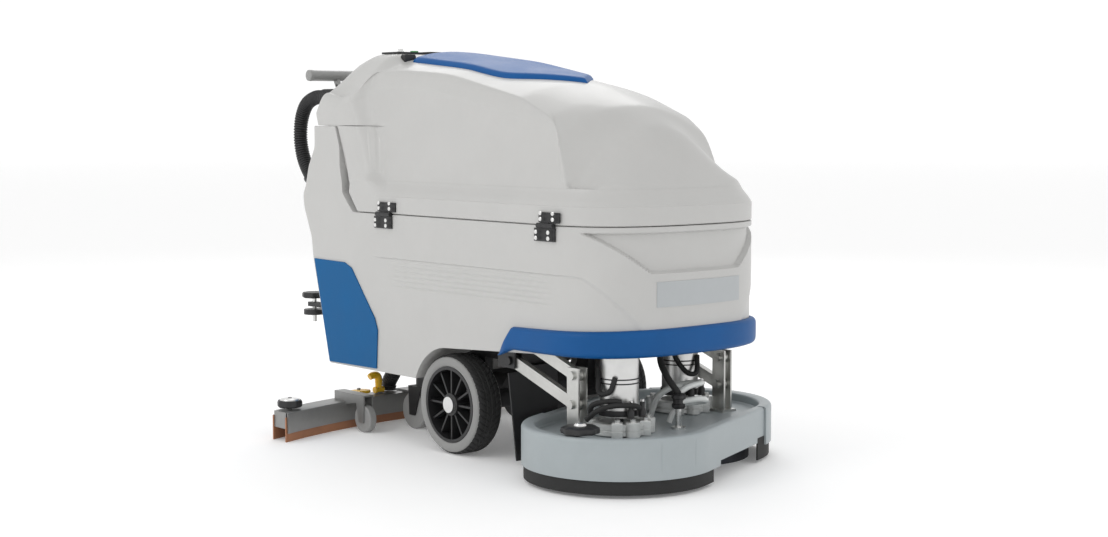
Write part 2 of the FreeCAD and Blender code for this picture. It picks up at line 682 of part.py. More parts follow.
def suction_hose():
    """Hose from the console down to the tank's shoulder, with the cuff at its lower end."""
    a = V(*HOSE_POINTS[-1])
    d = a - V(*HOSE_POINTS[-2])
    d.normalize()
    lower = Part.makeCylinder(HOSE_R + 3, CUFF_L, a, d)
    lower = lower.cut(lower_profile(0, -BODY_HALF_W, BODY_HALF_W))
    return group([tube_route(HOSE_POINTS, HOSE_R), lower])


# ---------------------------------------------------------------- squeegee pressure adjuster
ADJ_X = -230.0
ADJ_Y = 668.0
ADJ_Z = 318.0


def adjuster_bracket():
    """Arm bolted to the tank's back that the adjusting screw runs through."""
    foot = box(ADJ_X - 25, ADJ_X + 25, 572, 580, 290, 350)
    arm = box(ADJ_X - 12, ADJ_X + 12, 580, ADJ_Y + 16, ADJ_Z - 6, ADJ_Z + 6)
    body = fuse([foot, arm]).cut(lower_profile(0, -BODY_HALF_W, BODY_HALF_W))
    return body.cut(cyl(ADJ_X, ADJ_Y, 200, 6 + RUN_CLEAR, 200))


def adjuster_handwheel():
    spindle = cyl(ADJ_X, ADJ_Y, ADJ_Z - 48, 6, 66)
    wheel = cyl(ADJ_X, ADJ_Y, ADJ_Z + 18, 34, 16)
    return fuse([spindle, wheel])


def adjuster_lockwheel():
    return ring(ADJ_X, ADJ_Y, ADJ_Z - 28, 30, 6 + RUN_CLEAR, 14)


# ---------------------------------------------------------------- drive wheels
def spoke_wheel():
    x0, x1 = -WHEEL_FACE_X, -WHEEL_FACE_X + WHEEL_W
    barrel = x_rod(AXLE_Y, WHEEL_R, RIM_R, x0 + 2, x1 - 2).cut(x_rod(AXLE_Y, WHEEL_R, RIM_R - RIM_T, x0, x1))
    hub = x_rod(AXLE_Y, WHEEL_R, HUB_R, x0 + 6, x1 - 6)
    parts = [barrel, hub]
    for i in range(SPOKES):
        spoke = box(x0 + 10, x0 + 40, AXLE_Y - 2.5, AXLE_Y + 2.5, WHEEL_R + HUB_R - 2, WHEEL_R + RIM_R - RIM_T / 2)
        spoke.rotate(V(0, AXLE_Y, WHEEL_R), V(1, 0, 0), i * 360 / SPOKES)
        parts.append(spoke)
    return fuse(parts).cut(x_rod(AXLE_Y, WHEEL_R, AXLE_R, x0, x1))


def tyre():
    x0, x1 = -WHEEL_FACE_X, -WHEEL_FACE_X + WHEEL_W
    outer = x_rod(AXLE_Y, WHEEL_R, WHEEL_R, x0, x1)
    outer = outer.makeFillet(6, [e for e in outer.Edges if e.Curve.TypeId == "Part::GeomCircle"])
    return outer.cut(x_rod(AXLE_Y, WHEEL_R, RIM_R, x0, x1))


def axle():
    """Axle shaft from the differential, with the bright cap outside the hub."""
    shaft = x_rod(AXLE_Y, WHEEL_R, AXLE_R, -WHEEL_FACE_X + 6, -110)
    cap = x_rod(AXLE_Y, WHEEL_R, 20, -WHEEL_FACE_X - 1, -WHEEL_FACE_X + 6)
    return fuse([shaft, cap])


# ---------------------------------------------------------------- casters
def caster_fork(side):
    x, y = side * CASTER_X, CASTER_Y
    wheel_y = y + CASTER_TRAIL
    half = CASTER_W / 2 + GAP
    top = CASTER_BOSS_Z - GAP
    plate = box(x - half - 4, x + half + 4, y - 24, wheel_y + 16, top - 7, top)
    cheek = [(y - 10, top), (wheel_y + 16, top), (wheel_y + 12, CASTER_R - 12), (wheel_y - 12, CASTER_R - 12)]
    cheeks = [prism_x(cheek, x - half - 4, x - half), prism_x(cheek, x + half, x + half + 4)]
    stem = cyl(x, y, top, CASTER_STEM_R, REAR_RAIL_Z + PLATE_T - top)
    axle_pin = x_rod(wheel_y, CASTER_R, 5, x - half - 4, x + half + 4)
    return fuse([plate, stem, axle_pin] + cheeks)


def caster_wheel(side):
    x = side * CASTER_X
    wheel_y = CASTER_Y + CASTER_TRAIL
    body = x_rod(wheel_y, CASTER_R, CASTER_R, x - CASTER_W / 2, x + CASTER_W / 2)
    body = body.makeFillet(4, [e for e in body.Edges if e.Curve.TypeId == "Part::GeomCircle"])
    return body.cut(x_rod(wheel_y, CASTER_R, 5 + RUN_CLEAR, x - CASTER_W, x + CASTER_W))




# ---------------------------------------------------------------- brush deck
LOBES = (RIGHT_LOBE, LEFT_LOBE)
UPRIGHT_Y0 = -470.0
UPRIGHT_Y1 = -430.0
KNOB_X = -335.0
KNOB_Y = -568.0
KNOB_R = 43.0


def hull(r, z0, z1):
    """Plan of the deck: a disc on each lobe and the band between them."""
    (ax, ay), (bx, by) = LOBES
    run = math.hypot(bx - ax, by - ay)
    nx, ny = -(by - ay) / run * r, (bx - ax) / run * r
    band = prism_z([(ax + nx, ay + ny), (bx + nx, by + ny), (bx - nx, by - ny), (ax - nx, ay - ny)], z0, z1)
    return band.fuse([cyl(ax, ay, z0, r, z1 - z0), cyl(bx, by, z0, r, z1 - z0)]).removeSplitter()


def cover_sides(z0, z1):
    """The two stretches of the outline that the side covers take."""
    right = prism_z([(-500, -800), (9, -800), RIGHT_LOBE, (-230, -120), (-500, -120)], z0, z1)
    left = prism_z([(500, -800), (256, -800), LEFT_LOBE, (165, -100), (500, -100)], z0, z1)
    return group([right, left])


def outline_band(r_out, r_in, z0, z1):
    return hull(r_out, z0, z1).cut(hull(r_in, z0, z1)).common(cover_sides(z0, z1))


COVER_TOP_Z = 125.0
SKIRT_TOP_Z = 62.0


def deck_housing():
    shell = hull(LOBE_R, DECK_BOTTOM_Z, DECK_TOP_Z)
    shell = shell.makeChamfer(5, [e for e in shell.Edges if all(abs(v.Z - DECK_TOP_Z) < 1e-6 for v in e.Vertexes)])
    shell = shell.cut(hull(LOBE_R - DECK_WALL, DECK_BOTTOM_Z, PAN_Z - PAN_T))
    shell = shell.cut(hull(PAN_R, PAN_Z, DECK_TOP_Z))
    shell = shell.cut(outline_band(LOBE_R + 1, LOBE_R - COVER_T, DECK_BOTTOM_Z, COVER_TOP_Z))
    shell = shell.cut(outline_band(LOBE_R - COVER_T, LOBE_R - DECK_WALL, DECK_BOTTOM_Z, SKIRT_TOP_Z))
    for x, y in LOBES:
        shell = shell.cut(cyl(x, y, PAN_Z - PAN_T, HUB_SHAFT_R + 14, PAN_T))
    stud = cyl(KNOB_X, KNOB_Y, PAN_Z, 6, DECK_TOP_Z - PAN_Z + 28)
    return shell.fuse(stud).removeSplitter()


HUB_SHAFT_R = 10.0


def side_covers():
    return outline_band(LOBE_R, LOBE_R - COVER_T, COVER_BOTTOM_Z, COVER_TOP_Z)


def side_skirts():
    return outline_band(LOBE_R - COVER_T, LOBE_R - COVER_T - SKIRT_T, SKIRT_CLEAR_Z, SKIRT_TOP_Z)


def upright():
    """Post on the deck with two cheeks, pinned to the front ends of the links."""
    y, z = LINK_FRONT
    ry, rz = LINK_RISE
    half = LINK_T / 2 + GAP + LUG_T
    base = box(-LINK_X - half - 10, -LINK_X + half + 10, UPRIGHT_Y0 - 6, UPRIGHT_Y1 + 6, PAN_Z, PAN_Z + 6)
    parts = [base]
    for x0 in (-LINK_X - half, -LINK_X + half - LUG_T):
        cheek = box(x0, x0 + LUG_T, UPRIGHT_Y0, UPRIGHT_Y1, PAN_Z + 6, z + rz + 18)
        parts.append(cheek.cut(fuse_pair(x_rod(y, z, BOLT_R, x0, x0 + LUG_T),
                                         x_rod(y + ry, z + rz, BOLT_R, x0, x0 + LUG_T))))
    return group([fuse(parts), pivot_bolt(y, z), pivot_bolt(y + ry, z + rz)])


def brush_motors():
    """Brush motors, each on a cast clamp bolted to the pan."""
    out = []
    for x, y in LOBES:
        can = cyl(x, y, MOTOR_BASE_Z, MOTOR_R, MOTOR_TOP_Z - MOTOR_BASE_Z - 14)
        cap = cyl(x, y, MOTOR_TOP_Z - 14, MOTOR_R - 8, 14)
        out.append(fuse([can, cap]))
    return group(out)


def brush_clamps():
    out = []
    for x, y in LOBES:
        base = cyl(x, y, PAN_Z, 50, MOTOR_BASE_Z - PAN_Z)
        ears = [box(x - 62, x + 62, y - 16, y + 16, PAN_Z, MOTOR_BASE_Z - 12),
                box(x - 16, x + 16, y - 62, y + 62, PAN_Z, MOTOR_BASE_Z - 12)]
        out.append(fuse([base] + ears).cut(cyl(x, y, PAN_Z, HUB_SHAFT_R + RUN_CLEAR, MOTOR_BASE_Z - PAN_Z)))
    return group(out)


def brush_plate(lobe):
    x, y = lobe
    plate = cyl(x, y, BRUSH_PLATE_Z, BRUSH_R - 8, 12)
    hub = cyl(x, y, BRUSH_PLATE_Z + 12, 22, PAN_Z - PAN_T - 8 - BRUSH_PLATE_Z)
    shaft = cyl(x, y, PAN_Z - PAN_T, HUB_SHAFT_R, MOTOR_BASE_Z - PAN_Z)
    return fuse([plate, hub, shaft])


def bristles(lobe):
    x, y = lobe
    return ring(x, y, 0, BRUSH_R, 70, BRUSH_PLATE_Z)


MANIFOLD_X = -20.0
MANIFOLD_Y = -560.0


def water_manifold():
    """Post on the pan that splits the wash water between the two brushes."""
    post = cyl(MANIFOLD_X, MANIFOLD_Y, PAN_Z, 7, 62)
    block = box(MANIFOLD_X - 18, MANIFOLD_X + 18, MANIFOLD_Y - 14, MANIFOLD_Y + 14, PAN_Z + 62, PAN_Z + 84)
    return fuse([post, block])


def link(bottom):
    rear = LINK_REAR if bottom else (LINK_REAR[0] + LINK_RISE[0], LINK_REAR[1] + LINK_RISE[1])
    front = LINK_FRONT if bottom else (LINK_FRONT[0] + LINK_RISE[0], LINK_FRONT[1] + LINK_RISE[1])
    return slot_x(rear, front, LINK_W / 2, -LINK_X - LINK_T / 2, -LINK_X + LINK_T / 2, BOLT_R + RUN_CLEAR)


def deck_knob():
    return ring(KNOB_X, KNOB_Y, DECK_TOP_Z + GAP, KNOB_R, 6 + RUN_CLEAR, 18)




# ---------------------------------------------------------------- squeegee
SQ_ARC_R = (SQ_HALF_W ** 2 + SQ_SAG ** 2) / (2 * SQ_SAG)
SQ_ARC_Y = SQ_MID_Y - SQ_ARC_R
WING_KNOB_X = 200.0
END_ROLLER_X = 462.0
LEVER_X = -134.0


def arc_y(x, r):
    return SQ_ARC_Y + math.sqrt(r * r - x * x)


def arc_band(r_in, r_out, half_w, z0, z1):
    """Curved bar across the machine, cut square at both ends."""
    disc = ring(0, SQ_ARC_Y, z0, r_out, r_in, z1 - z0)
    return disc.common(box(-half_w, half_w, 0, 800, z0, z1))


def squeegee_body():
    r = SQ_ARC_R
    holder = arc_band(r, r + SQ_DEPTH, SQ_HALF_W - 3, SQ_BOTTOM_Z, SQ_TOP_Z)
    chamber = arc_band(r + 8, r + SQ_DEPTH - 8, SQ_HALF_W - 14, SQ_BOTTOM_Z, SQ_TOP_Z - 8)
    port = cyl(PORT_LINE_X, SQ_PORT_Y, SQ_TOP_Z - 10, ELBOW_R - 4, 20)
    body = holder.cut(chamber)
    plate = box(-60, 60, SQ_YAW_Y - 26, SQ_MID_Y + 30, SQ_TOP_Z, SQ_TOP_Z + 6)
    parts = [body, plate]
    for s in (-1, 1):
        x = s * SQ_WHEEL_X
        y1 = arc_y(x, r) + 10
        half = SQ_WHEEL_W / 2 + GAP
        cheek = [(y1 - 10, 66), (SQ_WHEEL_Y - 14, 84), (SQ_WHEEL_Y - 14, 100), (y1 + 30, 100), (y1 + 30, SQ_TOP_Z),
                 (y1 - 10, SQ_TOP_Z)]
        down = [(SQ_WHEEL_Y - 10, SQ_WHEEL_R - 10), (SQ_WHEEL_Y + 10, SQ_WHEEL_R - 10), (SQ_WHEEL_Y + 22, 84),
                (SQ_WHEEL_Y - 14, 84)]
        for x0 in (x - half - 4, x + half):
            parts.append(prism_x(cheek, x0, x0 + 4))
            parts.append(prism_x(down, x0, x0 + 4))
        parts.append(box(x - half, x + half, SQ_WHEEL_Y - 14, y1 + 30, 96, 100))
        parts.append(x_rod(SQ_WHEEL_Y, SQ_WHEEL_R, 4, x - half, x + half))
        parts.append(cyl(s * WING_KNOB_X, arc_y(WING_KNOB_X, r + 26), SQ_TOP_Z, 5, 22))
        parts.append(cyl(s * END_ROLLER_X, arc_y(END_ROLLER_X, r + 26), SQ_TOP_Z, 5, 32))
    lug = box(LEVER_X - 8, LEVER_X + 8, arc_y(LEVER_X, r) + 10, arc_y(LEVER_X, r) + 26, SQ_TOP_Z, SQ_TOP_Z + 18)
    lug = lug.cut(x_rod(arc_y(LEVER_X, r) + 18, SQ_TOP_Z + 11, 3 + RUN_CLEAR, LEVER_X - 9, LEVER_X + 9))
    hole = cyl(0, SQ_YAW_Y, SQ_TOP_Z - 10, YAW_R + RUN_CLEAR, 18)
    body = fuse(parts + [lug]).cut(group([port, hole]))
    return group(body.Solids + blade_straps().Solids)


YAW_R = 8.0
PORT_LINE_X = -92.0
SQ_PORT_Y = 508.0


def squeegee_blades():
    r = SQ_ARC_R
    front = arc_band(r - BLADE_T, r, SQ_HALF_W, 0, SQ_TOP_Z - 12)
    rear = arc_band(r + SQ_DEPTH, r + SQ_DEPTH + BLADE_T, SQ_HALF_W, 0, SQ_TOP_Z - 12)
    return group([front, rear])


def blade_straps():
    r = SQ_ARC_R
    front = arc_band(r - BLADE_T - 2, r - BLADE_T, SQ_HALF_W - 4, SQ_TOP_Z - 34, SQ_TOP_Z - 12)
    rear = arc_band(r + SQ_DEPTH + BLADE_T, r + SQ_DEPTH + BLADE_T + 2, SQ_HALF_W - 4, SQ_TOP_Z - 34,
                    SQ_TOP_Z - 12)
    return group([front, rear])


def squeegee_arm():
    """Lift arm from the frame to the squeegee, with the pin the squeegee swings on."""
    z = SQ_TOP_Z + 6 + GAP
    path = [(SQ_HINGE_Y - 12, SQ_HINGE_Z - 12), (SQ_HINGE_Y + 40, SQ_HINGE_Z - 16), (SQ_YAW_Y - 60, z),
            (SQ_YAW_Y + 24, z), (SQ_YAW_Y + 24, z + 10), (SQ_YAW_Y - 52, z + 10), (SQ_HINGE_Y + 44, SQ_HINGE_Z),
            (SQ_HINGE_Y + 12, SQ_HINGE_Z + 12), (SQ_HINGE_Y - 12, SQ_HINGE_Z + 12)]
    arm = prism_x(path, -ARM_HALF_W, ARM_HALF_W)
    pin = cyl(0, SQ_YAW_Y, SQ_TOP_Z - 8, YAW_R, z + 2 - SQ_TOP_Z + 8)
    return fuse([arm, pin]).cut(x_rod(SQ_HINGE_Y, SQ_HINGE_Z, BOLT_R + RUN_CLEAR, -ARM_HALF_W, ARM_HALF_W))


def suction_elbow():
    """Hose that rises from the squeegee into the tunnel under the tank."""
    x, y = PORT_LINE_X, SQ_PORT_Y
    return tube_route([(x, y, SQ_TOP_Z), (x, y, 104), (x, y - 22, 132), (x, y - 44, 164), (x, y - 50, 200)],
                      ELBOW_R)


def squeegee_wheel(side):
    x = side * SQ_WHEEL_X
    body = x_rod(SQ_WHEEL_Y, SQ_WHEEL_R, SQ_WHEEL_R, x - SQ_WHEEL_W / 2, x + SQ_WHEEL_W / 2)
    body = body.makeFillet(4, [e for e in body.Edges if e.Curve.TypeId == "Part::GeomCircle"])
    return body.cut(x_rod(SQ_WHEEL_Y, SQ_WHEEL_R, 4 + RUN_CLEAR, x - SQ_WHEEL_W, x + SQ_WHEEL_W))


def end_roller(side):
    return ring(side * END_ROLLER_X, arc_y(END_ROLLER_X, SQ_ARC_R + 26), SQ_TOP_Z + 6, 33, 5 + RUN_CLEAR, 24)


def wing_knob(side):
    x, y = side * WING_KNOB_X, arc_y(WING_KNOB_X, SQ_ARC_R + 26)
    hub = cyl(x, y, SQ_TOP_Z + GAP, 16, 16)
    wings = box(x - 40, x + 40, y - 11, y + 11, SQ_TOP_Z + 5, SQ_TOP_Z + 15)
    return fuse([hub, wings]).cut(cyl(x, y, SQ_TOP_Z, 5 + RUN_CLEAR, 40))


def blade_lever():
    """Upright cam lever with a hooked thumb rest."""
    y = arc_y(LEVER_X, SQ_ARC_R) + 18
    z = SQ_TOP_Z + 11
    pin = x_rod(y, z, 3, LEVER_X - 14, LEVER_X + 14)
    cheeks = [box(x0, x0 + 4, y - 7, y + 7, z - 7, z + 44) for x0 in (LEVER_X - 14, LEVER_X + 10)]
    top = box(LEVER_X - 24, LEVER_X + 14, y - 10, y + 10, z + 44, z + 52)
    return fuse([pin, top] + cheeks)


FAR = 2000.0
HULL_Y = (BAY_FRONT_Y, 50.0, 115.0, BAY_REAR_Y)    # blocks that step round the wheel arch


def in_blocks(whole, regions):
    """One moulding as touching blocks, each the share of one region (x0, x1, y0, y1, z0, z1)."""
    shares = [whole.common(box(*r)) for r in regions]
    return group([s for share in shares for s in share.Solids if s.Volume > 50.0])


def solution_blocks():
    """The solution tank in blocks that are each close to convex, so contact follows its hollows."""
    well, strip = WELL_TOP_Z, WELL_REAR_Y
    tunnel = (TUNNEL_X0, TUNNEL_X1)
    regions = [(-FAR, FAR, -FAR, strip, well, FAR), (-FAR, FAR, strip, BAY_FRONT_Y, 0, FAR)]
    for x0, x1 in ((-FAR, -230), (-230, -80), (-80, 80), (80, 230), (230, FAR)):
        regions.append((x0, x1, -FAR, strip, 0, well))
    for y0, y1 in zip(HULL_Y, HULL_Y[1:]):
        for x0, x1 in ((-FAR, -BAY_HALF_W), (-BAY_HALF_W, BAY_HALF_W), (BAY_HALF_W, FAR)):
            regions.append((x0, x1, y0, y1, 0, FAR))
    for x0, x1, y0, y1 in ((-FAR, tunnel[0], BAY_REAR_Y, FAR), (tunnel[1], FAR, BAY_REAR_Y, FAR),
                           (*tunnel, BAY_REAR_Y, TUNNEL_Y0), (*tunnel, TUNNEL_Y0, FAR)):
        regions.append((x0, x1, y0, y1, 0, TUNNEL_TOP_Z))
    for z0, z1 in ((TUNNEL_TOP_Z, SEAM_Z), (SEAM_Z, SEAM_Z + 53), (SEAM_Z + 53, FAR)):
        regions.append((-FAR, FAR, BAY_REAR_Y, FAR, z0, z1))
    return in_blocks(solution_tank(), regions)


def recovery_blocks():
    """The recovery tank in blocks: floor, walls, top round the mouth, and console."""
    floor, knee, shoulder, nose, back = UP_Z0 + TANK_WALL, 800.0, 830.0, -330.0, LID_REAR_Y
    regions = [(-FAR, FAR, -FAR, FAR, 0, floor)]
    for x0, x1 in ((-FAR, -150), (-150, 150), (150, FAR)):
        regions += [(x0, x1, -FAR, nose, floor, knee), (x0, x1, -FAR, nose, knee, FAR)]
    for x0, x1 in ((-FAR, -200), (-200, 200), (200, FAR)):
        regions.append((x0, x1, nose, back, floor, shoulder))
    for x0, x1 in ((-FAR, -MOUTH_HALF_W), (MOUTH_HALF_W, FAR)):
        regions.append((x0, x1, nose, back, shoulder, FAR))
    for y0, y1 in ((nose, MOUTH_FRONT_Y), (MOUTH_FRONT_Y, MOUTH_REAR_Y), (MOUTH_REAR_Y, back)):
        regions.append((-MOUTH_HALF_W, MOUTH_HALF_W, y0, y1, shoulder, FAR))
    regions += [(-FAR, FAR, back, FAR, floor, COLUMN_TOP_Z), (-FAR, FAR, back, FAR, COLUMN_TOP_Z, FAR)]
    return in_blocks(recovery_tank(), regions)


# ---------------------------------------------------------------- write the parts
save("solution_tank", solution_blocks())
save("front_bumper", front_bumper())
save("side_panels", group(both_sides(side_panel)))
save("chassis_frame", chassis_frame())
save("transaxle", transaxle())
save("batteries", batteries())
save("motor_controller", motor_controller())
save("splash_plate", splash_plate())
save("hinge_lower_leaves", hinge_lower_leaves())
save("hinge_upper_leaves", hinge_upper_leaves())
save("recovery_tank", recovery_blocks())
save("tank_lid", tank_lid())
save("lid_gasket", lid_gasket())
save("vacuum_motor", vacuum_motor())
save("float_cage", float_cage())
save("control_panel", control_panel())
save("brush_button", button(-70.0))
save("vacuum_button", button(70.0))
save("key_switch", key_switch())
save("handle_bar", handle_bar())
save("drive_paddle", drive_paddle())
save("suction_hose", suction_hose())
save("hose_cuff", hose_cuff())
save("adjuster_handwheel", adjuster_handwheel())
save("adjuster_lockwheel", adjuster_lockwheel())
for prefix, flip in (("right_", False), ("left_", True)):
    for name, shape in (("tyre", tyre()), ("rim", spoke_wheel()), ("axle", axle())):
        save(prefix + name, mirror_x(shape) if flip else shape)
for prefix, side in (("right_", -1), ("left_", 1)):
    save(prefix + "caster_fork", caster_fork(side))
    save(prefix + "caster_wheel", caster_wheel(side))
save("deck_housing", deck_housing())
save("side_covers", side_covers())
save("side_skirts", side_skirts())
save("deck_uprights", group(both_sides(upright)))
save("brush_motors", brush_motors())
save("brush_clamps", brush_clamps())
save("water_manifold", water_manifold())
save("lower_links", group(both_sides(lambda: link(True))))
save("upper_links", group(both_sides(lambda: link(False))))
save("deck_knob", deck_knob())
for prefix, lobe in (("right_", RIGHT_LOBE), ("left_", LEFT_LOBE)):
    save(prefix + "brush_plate", brush_plate(lobe))
    save(prefix + "bristles", bristles(lobe))
save("squeegee_body", squeegee_body())
save("squeegee_blades", squeegee_blades())
save("squeegee_arm", squeegee_arm())
save("suction_elbow", suction_elbow())
save("blade_lever", blade_lever())
for prefix, side in (("right_", -1), ("left_", 1)):
    save(prefix + "squeegee_wheel", squeegee_wheel(side))
    save(prefix + "end_roller", end_roller(side))
    save(prefix + "wing_knob", wing_knob(side))
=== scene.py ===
"""Walk-behind floor scrubber: outer shells, trim and finishes over the fixed CAD frame."""
from __future__ import annotations

import logging
import math
from dataclasses import dataclass
from enum import Enum
from typing import Any, ClassVar

import bmesh
import bpy
import numpy as np
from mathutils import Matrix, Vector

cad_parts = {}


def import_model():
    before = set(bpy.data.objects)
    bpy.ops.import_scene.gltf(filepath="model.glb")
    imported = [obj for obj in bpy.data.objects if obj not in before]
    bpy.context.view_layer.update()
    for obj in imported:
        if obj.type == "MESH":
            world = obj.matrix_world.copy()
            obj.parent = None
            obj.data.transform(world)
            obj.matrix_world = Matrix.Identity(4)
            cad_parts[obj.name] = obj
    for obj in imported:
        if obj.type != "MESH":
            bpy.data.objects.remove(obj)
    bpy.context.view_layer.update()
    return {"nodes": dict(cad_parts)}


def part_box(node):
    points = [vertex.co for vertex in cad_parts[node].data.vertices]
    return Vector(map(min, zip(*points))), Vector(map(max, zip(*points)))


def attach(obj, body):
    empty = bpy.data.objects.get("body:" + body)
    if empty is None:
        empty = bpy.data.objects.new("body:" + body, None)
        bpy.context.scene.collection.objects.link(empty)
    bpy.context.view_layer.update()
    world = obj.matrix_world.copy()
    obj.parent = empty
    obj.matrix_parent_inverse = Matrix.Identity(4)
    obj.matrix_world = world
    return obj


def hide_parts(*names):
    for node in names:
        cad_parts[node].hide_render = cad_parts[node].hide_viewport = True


LOG = logging.getLogger("scrubber")
Array = np.ndarray
Colour = tuple[float, float, float]
Point = tuple[float, float, float]
Curve = tuple[Array, Array]

# Plan outline of both tanks, in metres
NOSE_POWER = 2.8
HALF_W, NOSE_Y, NOSE_DEPTH = 0.290, -0.606, 0.226
MITRE_Y = NOSE_Y + NOSE_DEPTH
# Seam between the tanks, wheel arch and the bottom edge of the rear
SEAM_Z = 0.587
AXLE_Y, AXLE_Z, ARCH_R = -0.017, 0.125, 0.142
FLOOR_Z = 0.177


# ------------------------------------------------------------------ finishes
class Grain(Enum):
    """How a finish breaks up: its fine texture."""

    MOULDED = "moulded"
    BRUSHED = "brushed"
    CAST = "cast"
    RIBBED = "ribbed"


@dataclass(frozen=True)
class Finish:
    """A material of one kind: colour, gloss, grain and the marks of use.

    Args:
        name: the finish's name.
        colour: its linear base colour.
        roughness: mean roughness.
        metallic: 1 for bare metal.
        grain: the kind of fine texture.
        scale: texture cells to a metre.
        depth: height of the grain in metres.
        mottle: how far the colour wanders, as a part of itself.
        coat: weight of a clear coat.
        stretch: how the grain's cells are squeezed along each axis.
        specular: strength of the plain reflection, 0.5 for most plastics.
    """

    name: str
    colour: Colour
    roughness: float
    metallic: float = 0.0
    grain: Grain = Grain.MOULDED
    scale: float = 700.0
    depth: float = 0.00012
    mottle: float = 0.05
    coat: float = 0.0
    stretch: tuple[float, float, float] = (1.0, 1.0, 1.0)
    specular: float = 0.5

    def material(self) -> bpy.types.Material:
        """Build the node material, or hand back the one already built.

        Returns:
            The Blender material.
        """
        found = bpy.data.materials.get(self.name + "_finish")
        if found is not None:
            return found
        mat = bpy.data.materials.new(self.name + "_finish")
        mat.use_nodes = True
        tree = mat.node_tree
        tree.nodes.clear()
        out = tree.nodes.new("ShaderNodeOutputMaterial")
        shader = tree.nodes.new("ShaderNodeBsdfPrincipled")
        tree.links.new(shader.outputs[0], out.inputs[0])
        shader.inputs["Metallic"].default_value = self.metallic
        shader.inputs["Coat Weight"].default_value = self.coat
        shader.inputs["Coat Roughness"].default_value = 0.12
        shader.inputs["Specular IOR Level"].default_value = self.specular
        coord = tree.nodes.new("ShaderNodeTexCoord")
        place = tree.nodes.new("ShaderNodeMapping")
        place.inputs["Scale"].default_value = self.stretch
        tree.links.new(coord.outputs["Object"], place.inputs["Vector"])
        fine = self._noise(tree, place, self.scale, 3.0)
        broad = self._noise(tree, coord, 9.0, 4.0)
        worn = self._noise(tree, coord, 60.0, 6.0)
        self._colour(tree, shader, broad, worn)
        self._gloss(tree, shader, fine, broad)
        self._bump(tree, shader, fine, coord)
        return mat

    def _noise(self, tree: bpy.types.NodeTree, source: bpy.types.Node, scale: float,
               detail: float) -> bpy.types.Node:
        """Add one noise texture.

        Args:
            tree: the material's nodes.
            source: the node its vector comes from.
            scale: cells to a metre.
            detail: octaves.

        Returns:
            The noise node.
        """
        noise = tree.nodes.new("ShaderNodeTexNoise")
        noise.inputs["Scale"].default_value = scale
        noise.inputs["Detail"].default_value = detail
        vector = source.outputs["Object"] if "Object" in source.outputs else source.outputs["Vector"]
        tree.links.new(vector, noise.inputs["Vector"])
        return noise

    def _colour(self, tree: bpy.types.NodeTree, shader: bpy.types.Node, broad: bpy.types.Node,
                worn: bpy.types.Node) -> None:
        """Colour wanders between a darker and a lighter shade of itself.

        Args:
            tree: the material's nodes.
            shader: the surface shader.
            broad: slow noise over the piece.
            worn: finer noise for handling marks.
        """
        mix = tree.nodes.new("ShaderNodeMix")
        mix.data_type = "RGBA"
        base = np.array(self.colour)
        mix.inputs["A"].default_value = (*(base * (1.0 - self.mottle)), 1.0)
        mix.inputs["B"].default_value = (*np.minimum(base * (1.0 + self.mottle) + 0.002, 1.0), 1.0)
        both = tree.nodes.new("ShaderNodeMath")
        both.operation = "MULTIPLY_ADD"
        both.inputs[1].default_value = 0.35
        tree.links.new(worn.outputs["Fac"], both.inputs[0])
        tree.links.new(broad.outputs["Fac"], both.inputs[2])
        span = tree.nodes.new("ShaderNodeMapRange")
        span.inputs["From Min"].default_value = 0.35
        span.inputs["From Max"].default_value = 1.0
        tree.links.new(both.outputs[0], span.inputs["Value"])
        tree.links.new(span.outputs["Result"], mix.inputs["Factor"])
        tree.links.new(mix.outputs["Result"], shader.inputs["Base Color"])

    def _gloss(self, tree: bpy.types.NodeTree, shader: bpy.types.Node, fine: bpy.types.Node,
               broad: bpy.types.Node) -> None:
        """Roughness = mean + fine grain + slow smudges.

        Args:
            tree: the material's nodes.
            shader: the surface shader.
            fine: grain noise.
            broad: slow noise.
        """
        total = tree.nodes.new("ShaderNodeMath")
        total.operation = "MULTIPLY_ADD"
        total.inputs[1].default_value = 0.4
        tree.links.new(fine.outputs["Fac"], total.inputs[0])
        tree.links.new(broad.outputs["Fac"], total.inputs[2])
        span = tree.nodes.new("ShaderNodeMapRange")
        span.inputs["From Min"].default_value = 0.3
        span.inputs["From Max"].default_value = 1.1
        span.inputs["To Min"].default_value = max(self.roughness - 0.08, 0.03)
        span.inputs["To Max"].default_value = min(self.roughness + 0.10, 1.0)
        tree.links.new(total.outputs[0], span.inputs["Value"])
        tree.links.new(span.outputs["Result"], shader.inputs["Roughness"])

    def _bump(self, tree: bpy.types.NodeTree, shader: bpy.types.Node, fine: bpy.types.Node,
              coord: bpy.types.Node) -> None:
        """Grain as height: noise, with pits for castings and rings for turned metal.

        Args:
            tree: the material's nodes.
            shader: the surface shader.
            fine: grain noise.
            coord: texture coordinates.
        """
        height = fine.outputs["Fac"]
        if self.grain is Grain.CAST:
            pits = tree.nodes.new("ShaderNodeTexVoronoi")
            pits.inputs["Scale"].default_value = self.scale * 0.6
            tree.links.new(coord.outputs["Object"], pits.inputs["Vector"])
            height = pits.outputs["Distance"]
        if self.grain is Grain.RIBBED:
            bands = tree.nodes.new("ShaderNodeTexWave")
            bands.bands_direction = "Z"
            bands.inputs["Scale"].default_value = self.scale
            tree.links.new(coord.outputs["Object"], bands.inputs["Vector"])
            height = bands.outputs["Fac"]
        bump = tree.nodes.new("ShaderNodeBump")
        bump.inputs["Strength"].default_value = 0.5
        bump.inputs["Distance"].default_value = self.depth
        tree.links.new(height, bump.inputs["Height"])
        tree.links.new(bump.outputs["Normal"], shader.inputs["Normal"])


